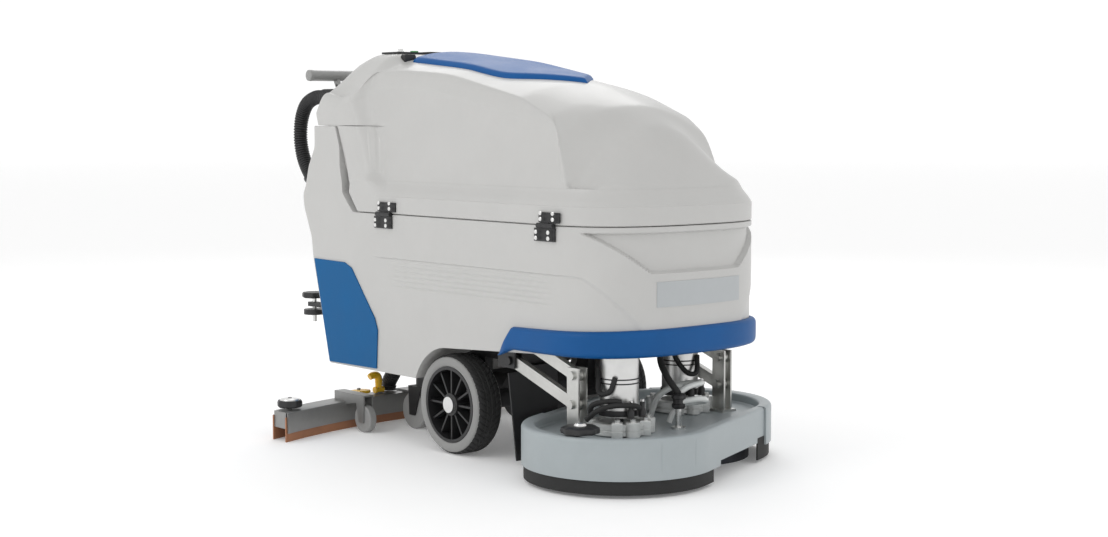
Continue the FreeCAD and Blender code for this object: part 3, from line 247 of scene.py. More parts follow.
SHELL = Finish("shell_grey", (0.50, 0.497, 0.485), 0.42, scale=900, depth=0.00006, mottle=0.025, coat=0.15)
BLUE_LID = Finish("lid_blue", (0.002, 0.088, 0.30), 0.46, scale=900, depth=0.00008, mottle=0.07,
                  coat=0.02, specular=0.22)
BLUE_TRIM = Finish("bumper_blue", (0.001, 0.078, 0.26), 0.44, scale=800, depth=0.00008, mottle=0.08,
                   coat=0.02, specular=0.22)
BLUE_PANEL = Finish("panel_blue", (0.001, 0.098, 0.27), 0.5, scale=800, depth=0.00007, mottle=0.06,
                    specular=0.18)
BLACK_PAINT = Finish("black_paint", (0.012, 0.012, 0.013), 0.42, scale=500, depth=0.00010, mottle=0.25)
BLACK_PLASTIC = Finish("black_plastic", (0.014, 0.014, 0.015), 0.45, scale=900, depth=0.00010, mottle=0.2)
RUBBER = Finish("black_rubber", (0.013, 0.013, 0.013), 0.72, scale=500, depth=0.00025, mottle=0.3)
HOSE = Finish("hose_black", (0.012, 0.012, 0.013), 0.46, scale=700, depth=0.00008, mottle=0.2)
TYRE = Finish("tyre_grey", (0.27, 0.27, 0.265), 0.75, scale=500, depth=0.0002, mottle=0.1)
TREAD = Finish("tread_black", (0.018, 0.018, 0.018), 0.8, scale=400, depth=0.0003, mottle=0.3)
RIM = Finish("rim_black", (0.016, 0.016, 0.017), 0.38, scale=600, depth=0.0001, mottle=0.25)
STEEL = Finish("bright_steel", (0.72, 0.72, 0.71), 0.27, 1.0, Grain.BRUSHED, 500, 0.00004, 0.08,
               stretch=(1.0, 1.0, 14.0))
MOTOR = Finish("motor_alloy", (0.66, 0.66, 0.65), 0.33, 1.0, Grain.BRUSHED, 420, 0.00006, 0.1,
               stretch=(0.6, 0.6, 9.0))
CAST_ALLOY = Finish("cast_alloy", (0.68, 0.69, 0.68), 0.46, 0.7, Grain.CAST, 420, 0.0004, 0.12)
CAST_IRON = Finish("cast_iron", (0.05, 0.05, 0.052), 0.62, 0.4, Grain.CAST, 380, 0.0004, 0.2)
ZINC = Finish("zinc_plate", (0.58, 0.58, 0.56), 0.38, 1.0, Grain.MOULDED, 260, 0.00008, 0.14)
DECK_PAINT = Finish("deck_paint", (0.335, 0.372, 0.385), 0.44, scale=420, depth=0.00012, mottle=0.05,
                    coat=0.1)
SQUEEGEE = Finish("squeegee_steel", (0.27, 0.27, 0.265), 0.42, 0.55, Grain.BRUSHED, 420, 0.00008, 0.12,
                  stretch=(1.0, 6.0, 6.0))
BLADE = Finish("blade_tan", (0.36, 0.16, 0.08), 0.58, scale=500, depth=0.0001, mottle=0.12)
GREY_WHEEL = Finish("wheel_grey", (0.30, 0.30, 0.295), 0.6, scale=500, depth=0.00015, mottle=0.1)
YELLOW = Finish("yellow", (0.91, 0.54, 0.012), 0.40, scale=800, depth=0.00008, mottle=0.06, coat=0.2)
HANDLE = Finish("handle_grey", (0.30, 0.30, 0.295), 0.40, 0.3, scale=600, depth=0.00008, mottle=0.08)
GREEN = Finish("button_green", (0.02, 0.30, 0.05), 0.3, scale=900, depth=0.00004, mottle=0.08)
BLUE_BUTTON = Finish("button_blue", (0.01, 0.10, 0.42), 0.3, scale=900, depth=0.00004, mottle=0.08)
CASE = Finish("battery_case", (0.022, 0.022, 0.024), 0.5, scale=600, depth=0.0001, mottle=0.2)
BRISTLE = Finish("bristle", (0.02, 0.022, 0.03), 0.7, 0.0, Grain.BRUSHED, 500, 0.0008, 0.3,
                 stretch=(1.0, 1.0, 0.05))
BLOCK = Finish("brush_block", (0.05, 0.052, 0.056), 0.5, scale=500, depth=0.0001, mottle=0.12)
CLEAR_HOSE = Finish("water_hose", (0.62, 0.64, 0.63), 0.22, scale=500, depth=0.00006, mottle=0.06, coat=0.3)
PLATE_GREY = Finish("front_plate", (0.43, 0.45, 0.46), 0.35, 0.2, scale=900, depth=0.00005, mottle=0.04)
BACKDROP = Finish("studio_backdrop", (0.02, 0.02, 0.02), 0.9)
FLOOR = Finish("studio_floor", (0.95, 0.95, 0.95), 0.8, scale=40, depth=0.0001, mottle=0.004)

NODE_FINISHES: dict[Finish, tuple[str, ...]] = {
    BLACK_PAINT: ("chassis_frame", "splash_plate", "hinge_lower_leaves", "hinge_upper_leaves",
                  "right_caster_fork", "left_caster_fork", "squeegee_arm"),
    SHELL: ("solution_tank", "recovery_tank"),
    BLUE_TRIM: ("front_bumper",),
    BLUE_PANEL: ("side_panels",),
    CAST_IRON: ("transaxle",),
    CASE: ("batteries", "motor_controller"),
    HANDLE: ("handle_bar",),
    HOSE: ("suction_hose", "hose_cuff", "suction_elbow"),
    RUBBER: ("lid_gasket", "side_skirts"),
    BLACK_PLASTIC: ("vacuum_motor", "float_cage", "control_panel", "deck_knob", "adjuster_handwheel",
                    "adjuster_lockwheel", "drive_paddle", "water_manifold", "right_end_roller",
                    "left_end_roller"),
    BLUE_LID: ("tank_lid",),
    STEEL: ("key_switch", "right_axle", "left_axle"),
    GREEN: ("brush_button",),
    BLUE_BUTTON: ("vacuum_button",),
    TYRE: ("right_tyre", "left_tyre"),
    RIM: ("right_rim", "left_rim"),
    GREY_WHEEL: ("right_caster_wheel", "left_caster_wheel", "right_squeegee_wheel", "left_squeegee_wheel"),
    ZINC: ("lower_links", "upper_links", "deck_uprights"),
    DECK_PAINT: ("deck_housing", "side_covers"),
    MOTOR: ("brush_motors",),
    CAST_ALLOY: ("brush_clamps",),
    BLOCK: ("right_brush_plate", "left_brush_plate"),
    BRISTLE: ("right_bristles", "left_bristles"),
    SQUEEGEE: ("squeegee_body",),
    BLADE: ("squeegee_blades",),
    YELLOW: ("right_wing_knob", "left_wing_knob", "blade_lever"),
}


# ------------------------------------------------------------------ shape tools
def eased(points: list[tuple[float, float]], width: float) -> tuple[Array, Array]:
    """A polyline y(x) with its corners rounded: the line averaged over a bell of the given width.

    Args:
        points: (x, y) pairs with x rising.
        width: standard deviation of the bell, in the unit of x.

    Returns:
        Fine x stations and their y values, ready for numpy.interp.
    """
    xs, ys = np.array(points, float).T
    step = width / 6.0
    fine = np.arange(xs[0] - 6 * width, xs[-1] + 6 * width, step)
    bell = np.exp(-0.5 * (np.arange(-24, 25) * step / width) ** 2)
    bell /= bell.sum()
    edge = np.interp(fine, xs, ys)
    left = ys[0] + (fine - xs[0]) * (ys[1] - ys[0]) / (xs[1] - xs[0])
    right = ys[-1] + (fine - xs[-1]) * (ys[-1] - ys[-2]) / (xs[-1] - xs[-2])
    edge = np.where(fine < xs[0], left, np.where(fine > xs[-1], right, edge))
    return fine[24:-24], np.convolve(edge, bell, "valid")


def at(curve: tuple[Array, Array], where: Array) -> Array:
    """The value of an eased curve at some places."""
    return np.interp(where, curve[0], curve[1])


def ramp(value: Array, low: float, high: float) -> Array:
    """Smooth step: 0 below low, 1 above high, 3t^2 - 2t^3 between."""
    t = np.clip((value - low) / (high - low), 0.0, 1.0)
    return t * t * (3.0 - 2.0 * t)


def piece_from_grid(name: str, points: Array, around: bool = True, ends: bool = False,
                    sharp: float = 32.0) -> bpy.types.Object:
    """Turn a grid of points into a mesh of quads with merged doubles and outward faces.

    Args:
        name: the piece's name.
        points: rows x columns x 3, in metres.
        around: whether the last column joins the first.
        ends: whether the first and last rows are closed with a face.
        sharp: edges folded by more than this many degrees stay sharp.

    Returns:
        The new object, linked to the scene.
    """
    rows, cols = points.shape[:2]
    index = np.arange(rows * cols).reshape(rows, cols)
    wrapped = np.concatenate([index, index[:, :1]], axis=1) if around else index
    a, b = wrapped[:-1, :-1].ravel(), wrapped[:-1, 1:].ravel()
    c, d = wrapped[1:, 1:].ravel(), wrapped[1:, :-1].ravel()
    faces = np.stack([a, b, c, d], axis=1).tolist()
    if ends:
        faces += [index[0].tolist(), index[-1][::-1].tolist()]
    mesh = bpy.data.meshes.new(name)
    mesh.from_pydata(points.reshape(-1, 3).tolist(), [], faces)
    return finish_mesh(name, mesh, sharp)


def finish_mesh(name: str, mesh: bpy.types.Mesh, sharp: float) -> bpy.types.Object:
    """Merge doubles, turn faces outwards, shade smooth with sharp folds, and link.

    Args:
        name: the piece's name.
        mesh: the raw mesh.
        sharp: fold angle in degrees above which an edge is sharp.

    Returns:
        The linked object.
    """
    work = bmesh.new()
    work.from_mesh(mesh)
    bmesh.ops.remove_doubles(work, verts=work.verts, dist=2e-5)
    bmesh.ops.dissolve_degenerate(work, edges=work.edges, dist=1e-5)
    bmesh.ops.recalc_face_normals(work, faces=work.faces)
    work.to_mesh(mesh)
    work.free()
    mesh.shade_smooth()
    mesh.set_sharp_from_angle(angle=math.radians(sharp))
    piece = bpy.data.objects.new(name, mesh)
    bpy.context.scene.collection.objects.link(piece)
    return piece


def join_meshes(name: str, parts: list[bpy.types.Object]) -> bpy.types.Object:
    """Put several finished pieces' meshes into one object, keeping each one's material.

    Args:
        name: the joined piece's name.
        parts: objects at the origin; they are used up.

    Returns:
        The joined object.
    """
    with bpy.context.temp_override(active_object=parts[0], object=parts[0], selected_objects=parts,
                                   selected_editable_objects=parts):
        bpy.ops.object.join()
    parts[0].name = name
    parts[0].data.name = name
    return parts[0]


def dress(piece: bpy.types.Object, finish: Finish) -> bpy.types.Object:
    """Give a piece one finish.

    Args:
        piece: the object.
        finish: what it is dressed in, in place of what it had.

    Returns:
        The same object.
    """
    piece.data.materials.clear()
    piece.data.materials.append(finish.material())
    return piece


def place(piece: bpy.types.Object, body: str, slot: str, *nodes: str) -> bpy.types.Object:
    """Set a piece on its body and hide the CAD nodes it stands for.

    Args:
        piece: the object.
        body: the body it rides on.
        slot: the record's material slot; not used.
        nodes: CAD nodes that it replaces.

    Returns:
        The same object.
    """
    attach(piece, body)
    if nodes:
        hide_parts(*nodes)
    LOG.info("%s on %s: %d faces", piece.name, body, len(piece.data.polygons))
    return piece


def through(points: list[Point], count: int) -> Array:
    """A smooth line through points: Catmull-Rom, p(t) = sum of the four nearest points' cubics.

    Args:
        points: the points the line passes through.
        count: how many samples to take.

    Returns:
        count x 3 samples.
    """
    p = np.array(points, float)
    p = np.vstack([2 * p[0] - p[1], p, 2 * p[-1] - p[-2]])
    t = np.linspace(0, len(points) - 1 - 1e-9, count)
    i = t.astype(int)
    f = (t - i)[:, None]
    a, b, c, d = p[i], p[i + 1], p[i + 2], p[i + 3]
    return 0.5 * (2 * b + (c - a) * f + (2 * a - 5 * b + 4 * c - d) * f ** 2
                  + (3 * b - a - 3 * c + d) * f ** 3)


def swept(name: str, line: Array, radius: Array | float, sides: int = 28,
          up: tuple[float, float, float] = (1.0, 0.0, 0.0), sharp: float = 40.0) -> bpy.types.Object:
    """A round tube carried along a line: line + r (cos a N + sin a B), with both ends closed.

    Args:
        name: the piece's name.
        line: n x 3 samples of the centre line.
        radius: one radius, or n of them.
        sides: points round the tube.
        up: a direction never parallel to the line, from which N is taken.
        sharp: fold angle that stays sharp.

    Returns:
        The tube as a piece.
    """
    tangent = np.gradient(line, axis=0)
    tangent /= np.linalg.norm(tangent, axis=1)[:, None]
    ref = np.array(up, float)
    n = ref - (tangent @ ref)[:, None] * tangent
    n /= np.linalg.norm(n, axis=1)[:, None]
    b = np.cross(tangent, n)
    turn = np.linspace(0, 2 * np.pi, sides, endpoint=False)
    r = np.broadcast_to(np.asarray(radius, float), (len(line),))[:, None, None]
    ring = np.cos(turn)[None, :, None] * n[:, None] + np.sin(turn)[None, :, None] * b[:, None]
    return piece_from_grid(name, line[:, None] + r * ring, ends=True, sharp=sharp)


def turned(name: str, profile: list[tuple[float, float]], centre: tuple[float, float, float],
           axis: str = "Z", sides: int = 48, wave: tuple[int, float] = (0, 0.0),
           sharp: float = 32.0) -> bpy.types.Object:
    """A turned solid: (r cos a, r sin a, h) about an axis, r scaled by 1 + w cos(n a).

    Args:
        name: the piece's name.
        profile: (radius, height) pairs from one pole to the other.
        centre: where the axis starts.
        axis: X, Y or Z.
        sides: points round.
        wave: number of lobes and their part of the radius.
        sharp: fold angle that stays sharp.

    Returns:
        The turned piece.
    """
    r, h = np.array(profile, float).T
    turn = np.linspace(0, 2 * np.pi, sides, endpoint=False)
    swell = 1.0 + wave[1] * np.cos(wave[0] * turn)
    u = r[:, None] * (np.cos(turn) * swell)[None]
    v = r[:, None] * (np.sin(turn) * swell)[None]
    w = np.broadcast_to(h[:, None], u.shape)
    order = {"Z": (u, v, w), "X": (w, u, v), "Y": (v, w, u)}[axis]
    return piece_from_grid(name, np.stack(order, axis=2) + np.array(centre), ends=r[0] > 1e-6, sharp=sharp)


# ------------------------------------------------------------------ body plan
@dataclass(frozen=True)
class BodyPlan:
    """The plan outline both tanks share: a blunt nose, straight sides and rounded rear corners.

    The nose is |x / w|^n + |(y - mitre) / d|^n = 1. Columns run from the middle of the nose down the
    right side to the middle of the back, then up the left side. Columns near the back move with
    the rear profile, by the share held in weight.
    """

    corner: float = 0.022
    rear: float = 0.582
    slide_from: float = 0.25

    def stations(self) -> tuple[Array, Array, Array, Array]:
        """Column descriptors of the right half.

        Returns:
            x as a share of the half width, y at the reference rear, the corner's fixed part of x,
            and the weight with which each column follows the rear profile.
        """
        t = np.linspace(0, np.pi / 2, 54)
        nose_x, nose_y = np.sin(t) ** (2 / NOSE_POWER), MITRE_Y - NOSE_DEPTH * np.cos(t) ** (2 / NOSE_POWER)
        side = np.unique(np.round(np.concatenate([
            np.linspace(MITRE_Y, -0.2355, 14)[1:], np.linspace(-0.2350, -0.2215, 3),
            np.linspace(-0.2205, AXLE_Y, 14), AXLE_Y + ARCH_R * np.sin(np.linspace(0, 1.2, 14)),
            np.linspace(0.12, 0.3045, 14), np.linspace(0.3055, 0.369, 8), np.linspace(0.369, 0.412, 12),
            np.linspace(0.412, 0.467, 14), np.linspace(0.467, self.rear - self.corner, 12)]), 5))
        turn = np.linspace(0, np.pi / 2, 7)[1:]
        back = np.linspace(0, 1, 14)[1:]
        r, ones = self.corner, np.ones_like
        share = np.concatenate([nose_x, ones(side), ones(turn), 1.0 - back])
        fixed = np.concatenate([0 * nose_x, 0 * side, r * (np.cos(turn) - 1), -r * (1 - back)])
        y = np.concatenate([nose_y, side, self.rear - r + r * np.sin(turn), self.rear + 0 * back])
        weight = np.clip((y - self.slide_from) / (self.rear - self.corner - self.slide_from), 0, 1)
        return share, y, fixed, weight

    def right_half(self, half_w: Array | float, z: Array, rear: tuple[Array, Array],
                   inset: Array | float = 0.0, tight: Array | float = 0.0) -> Array:
        """Points of the right half at each row's heights.

        Args:
            half_w: half width, one or rows x columns.
            z: rows x columns of heights.
            rear: the rear profile y(z), eased.
            inset: how far each point is moved inwards along the plan normal.
            tight: 1 where the rear corners are square, 0 where they have their full radius.

        Returns:
            rows x columns x 3 points.
        """
        share, y0, fixed, weight = self.stations()
        x = -(half_w * share + fixed * (1 - 0.88 * tight))
        spare = np.minimum(self.rear - y0, self.corner) * (weight > 0.98)
        y = y0 + weight * (at(rear, z) - self.rear) + 0.88 * tight * spare
        x, y = np.broadcast_arrays(x + 0 * z, y)
        gx, gy = np.gradient(x, axis=1), np.gradient(y, axis=1)
        size = np.hypot(gx, gy) + 1e-9
        nx, ny = -gy / size, gx / size
        nx[:, 0], ny[:, 0], nx[:, -1], ny[:, -1] = 0.0, -1.0, 0.0, 1.0
        return np.stack([x - nx * inset, y - ny * inset, z], axis=2)


def both_halves(right: Array) -> Array:
    """The right half and its mirror image as one closed set of columns."""
    left = right[:, ::-1] * np.array([-1.0, 1.0, 1.0])
    return np.concatenate([right, left], axis=1)


PLAN = BodyPlan()
LOWER_REAR = eased([(0.170, 0.514), (0.177, 0.517), (0.454, 0.594), (0.513, 0.602), (0.595, 0.638),
                    (0.630, 0.641),
                    (0.650, 0.628), (0.706, 0.612), (0.755, 0.582), (0.820, 0.582)], 0.006)
SEAM_TOP = eased([(-0.7, 0.587), (0.367, 0.587), (0.410, 0.641), (0.414, 0.663), (0.467, 0.8115),
                  (0.468, 0.812),
                  (0.7, 0.812)], 0.0015)


@dataclass
class LowerShell:
    """Solution tank: moulded sides with a ribbed belt, nose facet, wheel arch and battery bay."""

    belt_z: float = 0.474
    rib_pitch: float = 0.0125
    rib_depth: float = 0.0017
    skin: float = 0.006
    bay_half_w: float = 0.212
    bay_y: tuple[float, float] = (-0.221, 0.305)
    bay_floor: float = 0.300
    well_top: float = 0.395
    tunnel_top: float = 0.330

    def bottom(self, y: Array) -> Array:
        """Bottom edge: 291 mm at the nose falling to 267, the arch circle, then 177 mm.

        Args:
            y: places along the machine.

        Returns:
            The height of the edge at each place.
        """
        nose = np.interp(y, [-0.42, AXLE_Y], [0.291, 0.267])
        arch = AXLE_Z + np.sqrt(np.maximum(ARCH_R ** 2 - (y - AXLE_Y) ** 2, 0.0))
        return np.where(y < AXLE_Y, nose, np.maximum(arch, FLOOR_Z))

    def relief(self, points: Array) -> Array:
        """Depth of the moulded relief: belt step, ribs and the raised nose facet.

        Args:
            points: rows x columns x 3.

        Returns:
            Depth in metres, positive inwards.
        """
        x, y, z = points[..., 0], points[..., 1], points[..., 2]
        forward = ramp(y, -0.50, -0.43)
        belt = self.belt_z
        step = 0.0022 * ramp(belt - z, 0.0, 0.0035) * forward * (1 - ramp(y, 0.22, 0.34))
        groove = 0.0030 * np.exp(-((z - belt) / 0.0018) ** 2) * forward * (1 - ramp(y, 0.26, 0.30))
        band = ramp(belt - z, 0.004, 0.010) * ramp(z, 0.398, 0.404)
        along = ramp(y, -0.43, -0.37) * (1 - ramp(y, 0.18, 0.24))
        ribs = self.rib_depth * (0.5 - 0.5 * np.cos(2 * np.pi * (belt - z) / self.rib_pitch)) ** 2
        edge = 0.146 + (z - 0.485) * (0.130 / 0.090)
        facet = 0.012 * ramp(edge - np.abs(x), 0.0, 0.007) * ramp(z, 0.480,
                                                                  0.487) * (1 - ramp(z, 0.571, 0.576))
        lower = 0.205 + (z - 0.40) * 0.9
        cheek = 0.0035 * ramp(np.abs(x) - lower, 0.0, 0.006) * (1 - ramp(z, 0.470, 0.476)) * (1 - forward)
        return step + groove + ribs * band * along + facet * (y < -0.3) + cheek

    def outside(self) -> Array:
        """Rows of the outer wall, from the bottom edge to the seam, closest together at the ribs.

        Returns:
            rows x columns x 3 points of the right half.
        """
        _, y0, _, _ = PLAN.stations()
        zb, zt = self.bottom(y0), at(SEAM_TOP, y0)
        zt[y0 <= 0.362] = SEAM_Z
        low = np.linspace(0, 1, 7)[:-1, None]
        rows = [zb[None] + (0.310 - zb[None]) * low,
                np.broadcast_to(np.linspace(0.310, 0.396, 12)[:, None], (12, len(y0))),
                np.broadcast_to(np.linspace(0.398, 0.481, 110)[:, None], (110, len(y0))),
                np.broadcast_to(np.linspace(0.483, 0.584, 46)[:, None], (46, len(y0))),
                0.584 + (zt[None] - 0.584) * np.linspace(0.06, 1, 26)[:, None]]
        z = np.concatenate(rows, axis=0)
        plain = PLAN.right_half(HALF_W, z, LOWER_REAR)
        return PLAN.right_half(HALF_W, z, LOWER_REAR, self.relief(plain))

    def build(self) -> bpy.types.Object:
        """Close the outer wall over the top, down into the battery bay and under the floor.

        Returns:
            The solution tank's piece.
        """
        wall = self.outside()
        _, y0, _, _ = PLAN.stations()
        top, foot = wall[-1:], wall[:1]
        lip = top + np.array([0, 0, 0.0012]) + top - PLAN.right_half(HALF_W, top[..., 2], LOWER_REAR, -0.0022)
        in_bay = ((y0 > self.bay_y[0]) & (y0 < self.bay_y[1]))[None]
        rim = np.where(in_bay[..., None], lip * [0, 1, 1] + [-self.bay_half_w, 0, 0], lip * [0.7, 1, 1])
        sunk = np.where(in_bay, self.bay_floor, rim[..., 2])
        down = np.stack([rim[..., 0], rim[..., 1], sunk], axis=2)
        middle = down * np.array([0.0, 1.0, 1.0])
        well, tunnel = (y0 < -0.2352)[None], (y0 > 0.41)[None]
        inner = PLAN.right_half(HALF_W, foot[..., 2], LOWER_REAR, self.skin)
        sky = np.where(well, self.well_top, np.where(tunnel, self.tunnel_top, foot[..., 2]))
        roof = np.stack([inner[..., 0], inner[..., 1], sky], axis=2)
        keel = roof * np.array([0.0, 1.0, 1.0])
        rows = np.concatenate([keel, roof, inner, wall, lip, rim, down, middle], axis=0)
        return piece_from_grid("solution_tank_shell", both_halves(rows), sharp=30.0)

    def make(self) -> None:
        """Build, dress and place the shell."""
        shell = dress(self.build(), SHELL)
        place(shell, "chassis", "shell_grey", "solution_tank")


@dataclass
class UpperShell:
    """Recovery tank: upright flange, sloping ledge, domed sides, console and the lid's mouth."""

    floor_z: float = 0.590
    waist_z: float = 0.633
    ledge_z: float = 0.672
    ledge_in: float = 0.028
    fillet: float = 0.026
    lid_half_w: float = 0.150
    lid_y: tuple[float, float] = (-0.215, 0.330)
    tip_slope: float = 0.92

    crown: ClassVar[Curve] = eased([
        (-0.60, 0.655), (-0.577, 0.674), (-0.540, 0.714), (-0.470, 0.812), (-0.387, 0.864), (-0.215, 0.920),
        (0.064, 0.973), (0.274, 0.9975), (0.372, 1.0045), (0.455, 1.005), (0.500, 0.990), (0.530, 0.952),
        (0.582, 0.850), (0.60, 0.81)], 0.009)
    drop: ClassVar[Curve] = eased([
        (-0.60, 0.002), (-0.54, 0.038), (-0.50, 0.094), (-0.470, 0.135), (-0.447, 0.148), (-0.413, 0.109),
        (-0.388, 0.068), (-0.342, 0.046), (-0.234, 0.039), (0.120, 0.039), (0.337, 0.050), (0.453, 0.075),
        (0.500, 0.060), (0.530, 0.030), (0.560, 0.004), (0.60, 0.0)], 0.010)
    rear: ClassVar[Curve] = eased([
        (0.58, 0.366), (0.590, 0.366), (0.640, 0.406), (0.663, 0.402), (0.8100, 0.4630), (0.8125, 0.4645),
        (0.8150, 0.570), (0.850, 0.582), (0.860, 0.580)], 0.0004)
    pillar: ClassVar[Curve] = eased([
        (0.60, 0.270), (0.657, 0.288), (0.687, 0.325), (0.756, 0.348), (0.868, 0.395), (0.928, 0.413),
        (1.0, 0.43)], 0.01)

    def top(self, x: Array, y: Array) -> Array:
        """Height of the top: crown(y) - drop(y) (|x| / 230)^2, flatter under the console's panel.

        Args:
            x: places across the machine.
            y: places along it.

        Returns:
            The height at each place.
        """
        dome = np.clip(np.abs(x) / 0.23, 0, 1.25) ** 2.0
        flat = np.clip((np.abs(x) - 0.14) / 0.10, 0, 1.25) ** 2.0
        mix = ramp(y, 0.325, 0.372)
        return np.maximum(at(self.crown, y) - at(self.drop, y) * (dome * (1 - mix) + flat * mix), 0.6735)

    def flare(self, y: Array, z: Array) -> Array:
        """How far the dome's side stands in from the flange: 28 mm, fading out at the rear pillar."""
        return self.ledge_in * (1 - ramp(y - at(self.pillar, z), -0.035, 0.02))

    def lid_loop(self, loop: Array, grow: float) -> Array:
        """The lid's outline, matched column by column to a loop round it.

        The outline is the smooth meeting of its sides, back edge and the two edges of its pointed
        front: 1 / r = ((|c| / a)^n + (s / b)^n + ((k |c| - s) / f)^n)^(1/n) about its middle.

        Args:
            loop: columns x 3 of the outer loop.
            grow: how much larger than the lid.

        Returns:
            columns x 2 plan points.
        """
        mid = 0.5 * (self.lid_y[0] + self.lid_y[1])
        a, b = self.lid_half_w + grow, 0.5 * (self.lid_y[1] - self.lid_y[0]) + grow
        angle = np.arctan2((loop[:, 1] - mid) / 0.48, loop[:, 0] / 0.262)
        c, s, n = np.cos(angle) * 0.262, np.sin(angle) * 0.48, 13.0
        c, s = c / np.hypot(c, s), s / np.hypot(c, s)
        slope, front = self.tip_slope, -self.lid_y[0] + mid + grow * 1.4
        point = np.maximum((slope * np.abs(c) - s) / front, 0.0)
        scale = ((np.abs(c) / a) ** n + (np.maximum(s, 0) / b) ** n + point ** n) ** (-1 / n)
        return np.stack([c * scale, mid + s * scale], axis=1)

    def build(self) -> bpy.types.Object:
        """Floor, flange, ledge, dome wall, rounded shoulder, top, lid seat, mouth and the hollow.

        Returns:
            The recovery tank's piece.
        """
        _, y0, _, _ = PLAN.stations()
        cols = len(y0)
        band = np.linspace(self.floor_z, self.waist_z, 12)[:, None] + np.zeros((1, cols))
        flange = PLAN.right_half(HALF_W, band, self.rear, 0.0, 1.0)
        hem = PLAN.right_half(HALF_W, band[:1], self.rear, 0.002, 1.0)
        flange[0] = flange[0] * [1, 1, 0] + [0, 0, self.floor_z + 0.002]
        z = np.linspace(self.waist_z + 0.001, self.ledge_z, 10)[:, None] + np.zeros((1, cols))
        part = (z - self.waist_z) / (self.ledge_z - self.waist_z)
        level = PLAN.right_half(HALF_W, z, self.rear)
        slope = PLAN.right_half(HALF_W, z, self.rear,
                                self.flare(level[..., 1], z) * ramp(part, -0.15, 1.15), 1.0)
        edge = PLAN.right_half(HALF_W, z[-1:], self.rear, self.flare(level[-1:, :, 1], z[-1:]), 1.0)
        reach = self.top(edge[0, :, 0], np.where(y0 > 0.36, y0, edge[0, :, 1]))
        knee = np.maximum(reach - self.fillet, self.ledge_z + (reach - self.ledge_z) * 0.35)[None]
        below = np.concatenate([np.linspace(self.ledge_z, 0.8115, 26), [0.8124, 0.8151, 0.8156]])[:, None]
        above = np.maximum(knee - 0.8156, 0.0) * np.linspace(0.04, 1, 20)[:, None]
        z = np.concatenate([np.minimum(below, knee), np.minimum(0.8156, knee) + above], axis=0)
        level = PLAN.right_half(HALF_W, z, self.rear)
        tuck = 0.034 * (1 - np.exp((self.ledge_z - z) / 0.090))
        lean = tuck * (1 - ramp(level[..., 1], 0.26, 0.45) * 0.85)
        wall = PLAN.right_half(HALF_W, z, self.rear, self.flare(level[..., 1], z) + lean,
                               (z < 0.8140).astype(float))
        last, outline = wall[-1], self.lid_loop(wall[-1], 0.001)
        run = np.linspace(0, 1, 60)[:, None] ** 1.15
        plan = last[None, :, :2] * (1 - run[..., None]) + outline[None] * run[..., None]
        high = self.top(plan[..., 0], plan[..., 1])
        away = np.hypot(plan[..., 0] - last[None, :, 0], plan[..., 1] - last[None, :, 1])
        room = np.maximum(high - last[None, :, 2], 0.0)
        span = np.clip(np.minimum(room * 1.1, 0.030), 1e-4, None)
        arc = 1 - (1 - np.clip(away / span, 0, 1)) ** 2.6
        over = np.concatenate([plan, (last[None, :, 2] + (high - last[None, :, 2]) * arc)[..., None]], axis=2)
        seat_plan = self.lid_loop(wall[-1], -0.022)
        mouth = np.stack([np.clip(seat_plan[:, 0], -0.12, 0.12), np.clip(seat_plan[:, 1], -0.15, 0.29)],
                         axis=1)
        rim, seat = self.level(outline, -0.014), self.level(mouth, -0.014)
        under = self.level(mouth, -0.024)
        hollow = self.level(wall[-1, :, :2] * 0.93, 0.0)
        hollow[:, 2] = np.minimum(hollow[:, 2], last[:, 2]) - 0.03
        pit = np.concatenate([edge[0, :, :2] * 0.96, np.full((cols, 1), 0.640)], axis=1)
        base = np.concatenate([edge[0, :, :2] * 0.94, np.full((cols, 1), 0.598)], axis=1)
        rows = [hem * [0, 1, 1], hem, flange, slope, wall, over, rim[None], seat[None], under[None],
                hollow[None], pit[None], base[None], base[None] * [0, 1, 1]]
        return piece_from_grid("recovery_tank_shell", both_halves(np.concatenate(rows, axis=0)), sharp=30.0)

    def level(self, plan: Array, lift: float) -> Array:
        """Plan points set on the top surface, raised by lift."""
        return np.concatenate([plan, (self.top(plan[:, 0], plan[:, 1]) + lift)[:, None]], axis=1)

    def lid_ring(self) -> Array:
        """A plain oval round the lid, 240 columns of (a cos t, m + b sin t, 0), for lid_loop to match."""
        turn, mid = np.linspace(0, 2 * np.pi, 240, endpoint=False), 0.5 * (self.lid_y[0] + self.lid_y[1])
        return np.stack([0.262 * np.cos(turn), mid + 0.48 * np.sin(turn), 0 * turn], axis=1)

    def lid(self) -> bpy.types.Object:
        """The lid: the same top surface raised 12 mm, with a bevelled edge and a flat underside.

        Returns:
            The lid's piece.
        """
        edge = self.lid_loop(self.lid_ring(), 0.0)
        mid = np.array([0.0, 0.5 * (self.lid_y[0] + self.lid_y[1])])
        rows = []
        for inset, lift in ((0.60, -0.010), (0.985, -0.010), (1.0, -0.007), (1.0, 0.0), (0.994, 0.004),
                            (0.965, 0.0095), (0.93, 0.0115)):
            rows.append(self.level(mid + (edge - mid) * inset, lift))
        for inset in np.linspace(0.90, 0.0, 18):
            bulge = 0.0115 + 0.0005 * (1 - inset)
            rows.append(self.level(mid + (edge - mid) * inset, bulge))
        rows.insert(0, self.level(mid + 0.0 * edge, -0.010))
        return piece_from_grid("tank_lid_cover", np.array(rows), sharp=28.0)

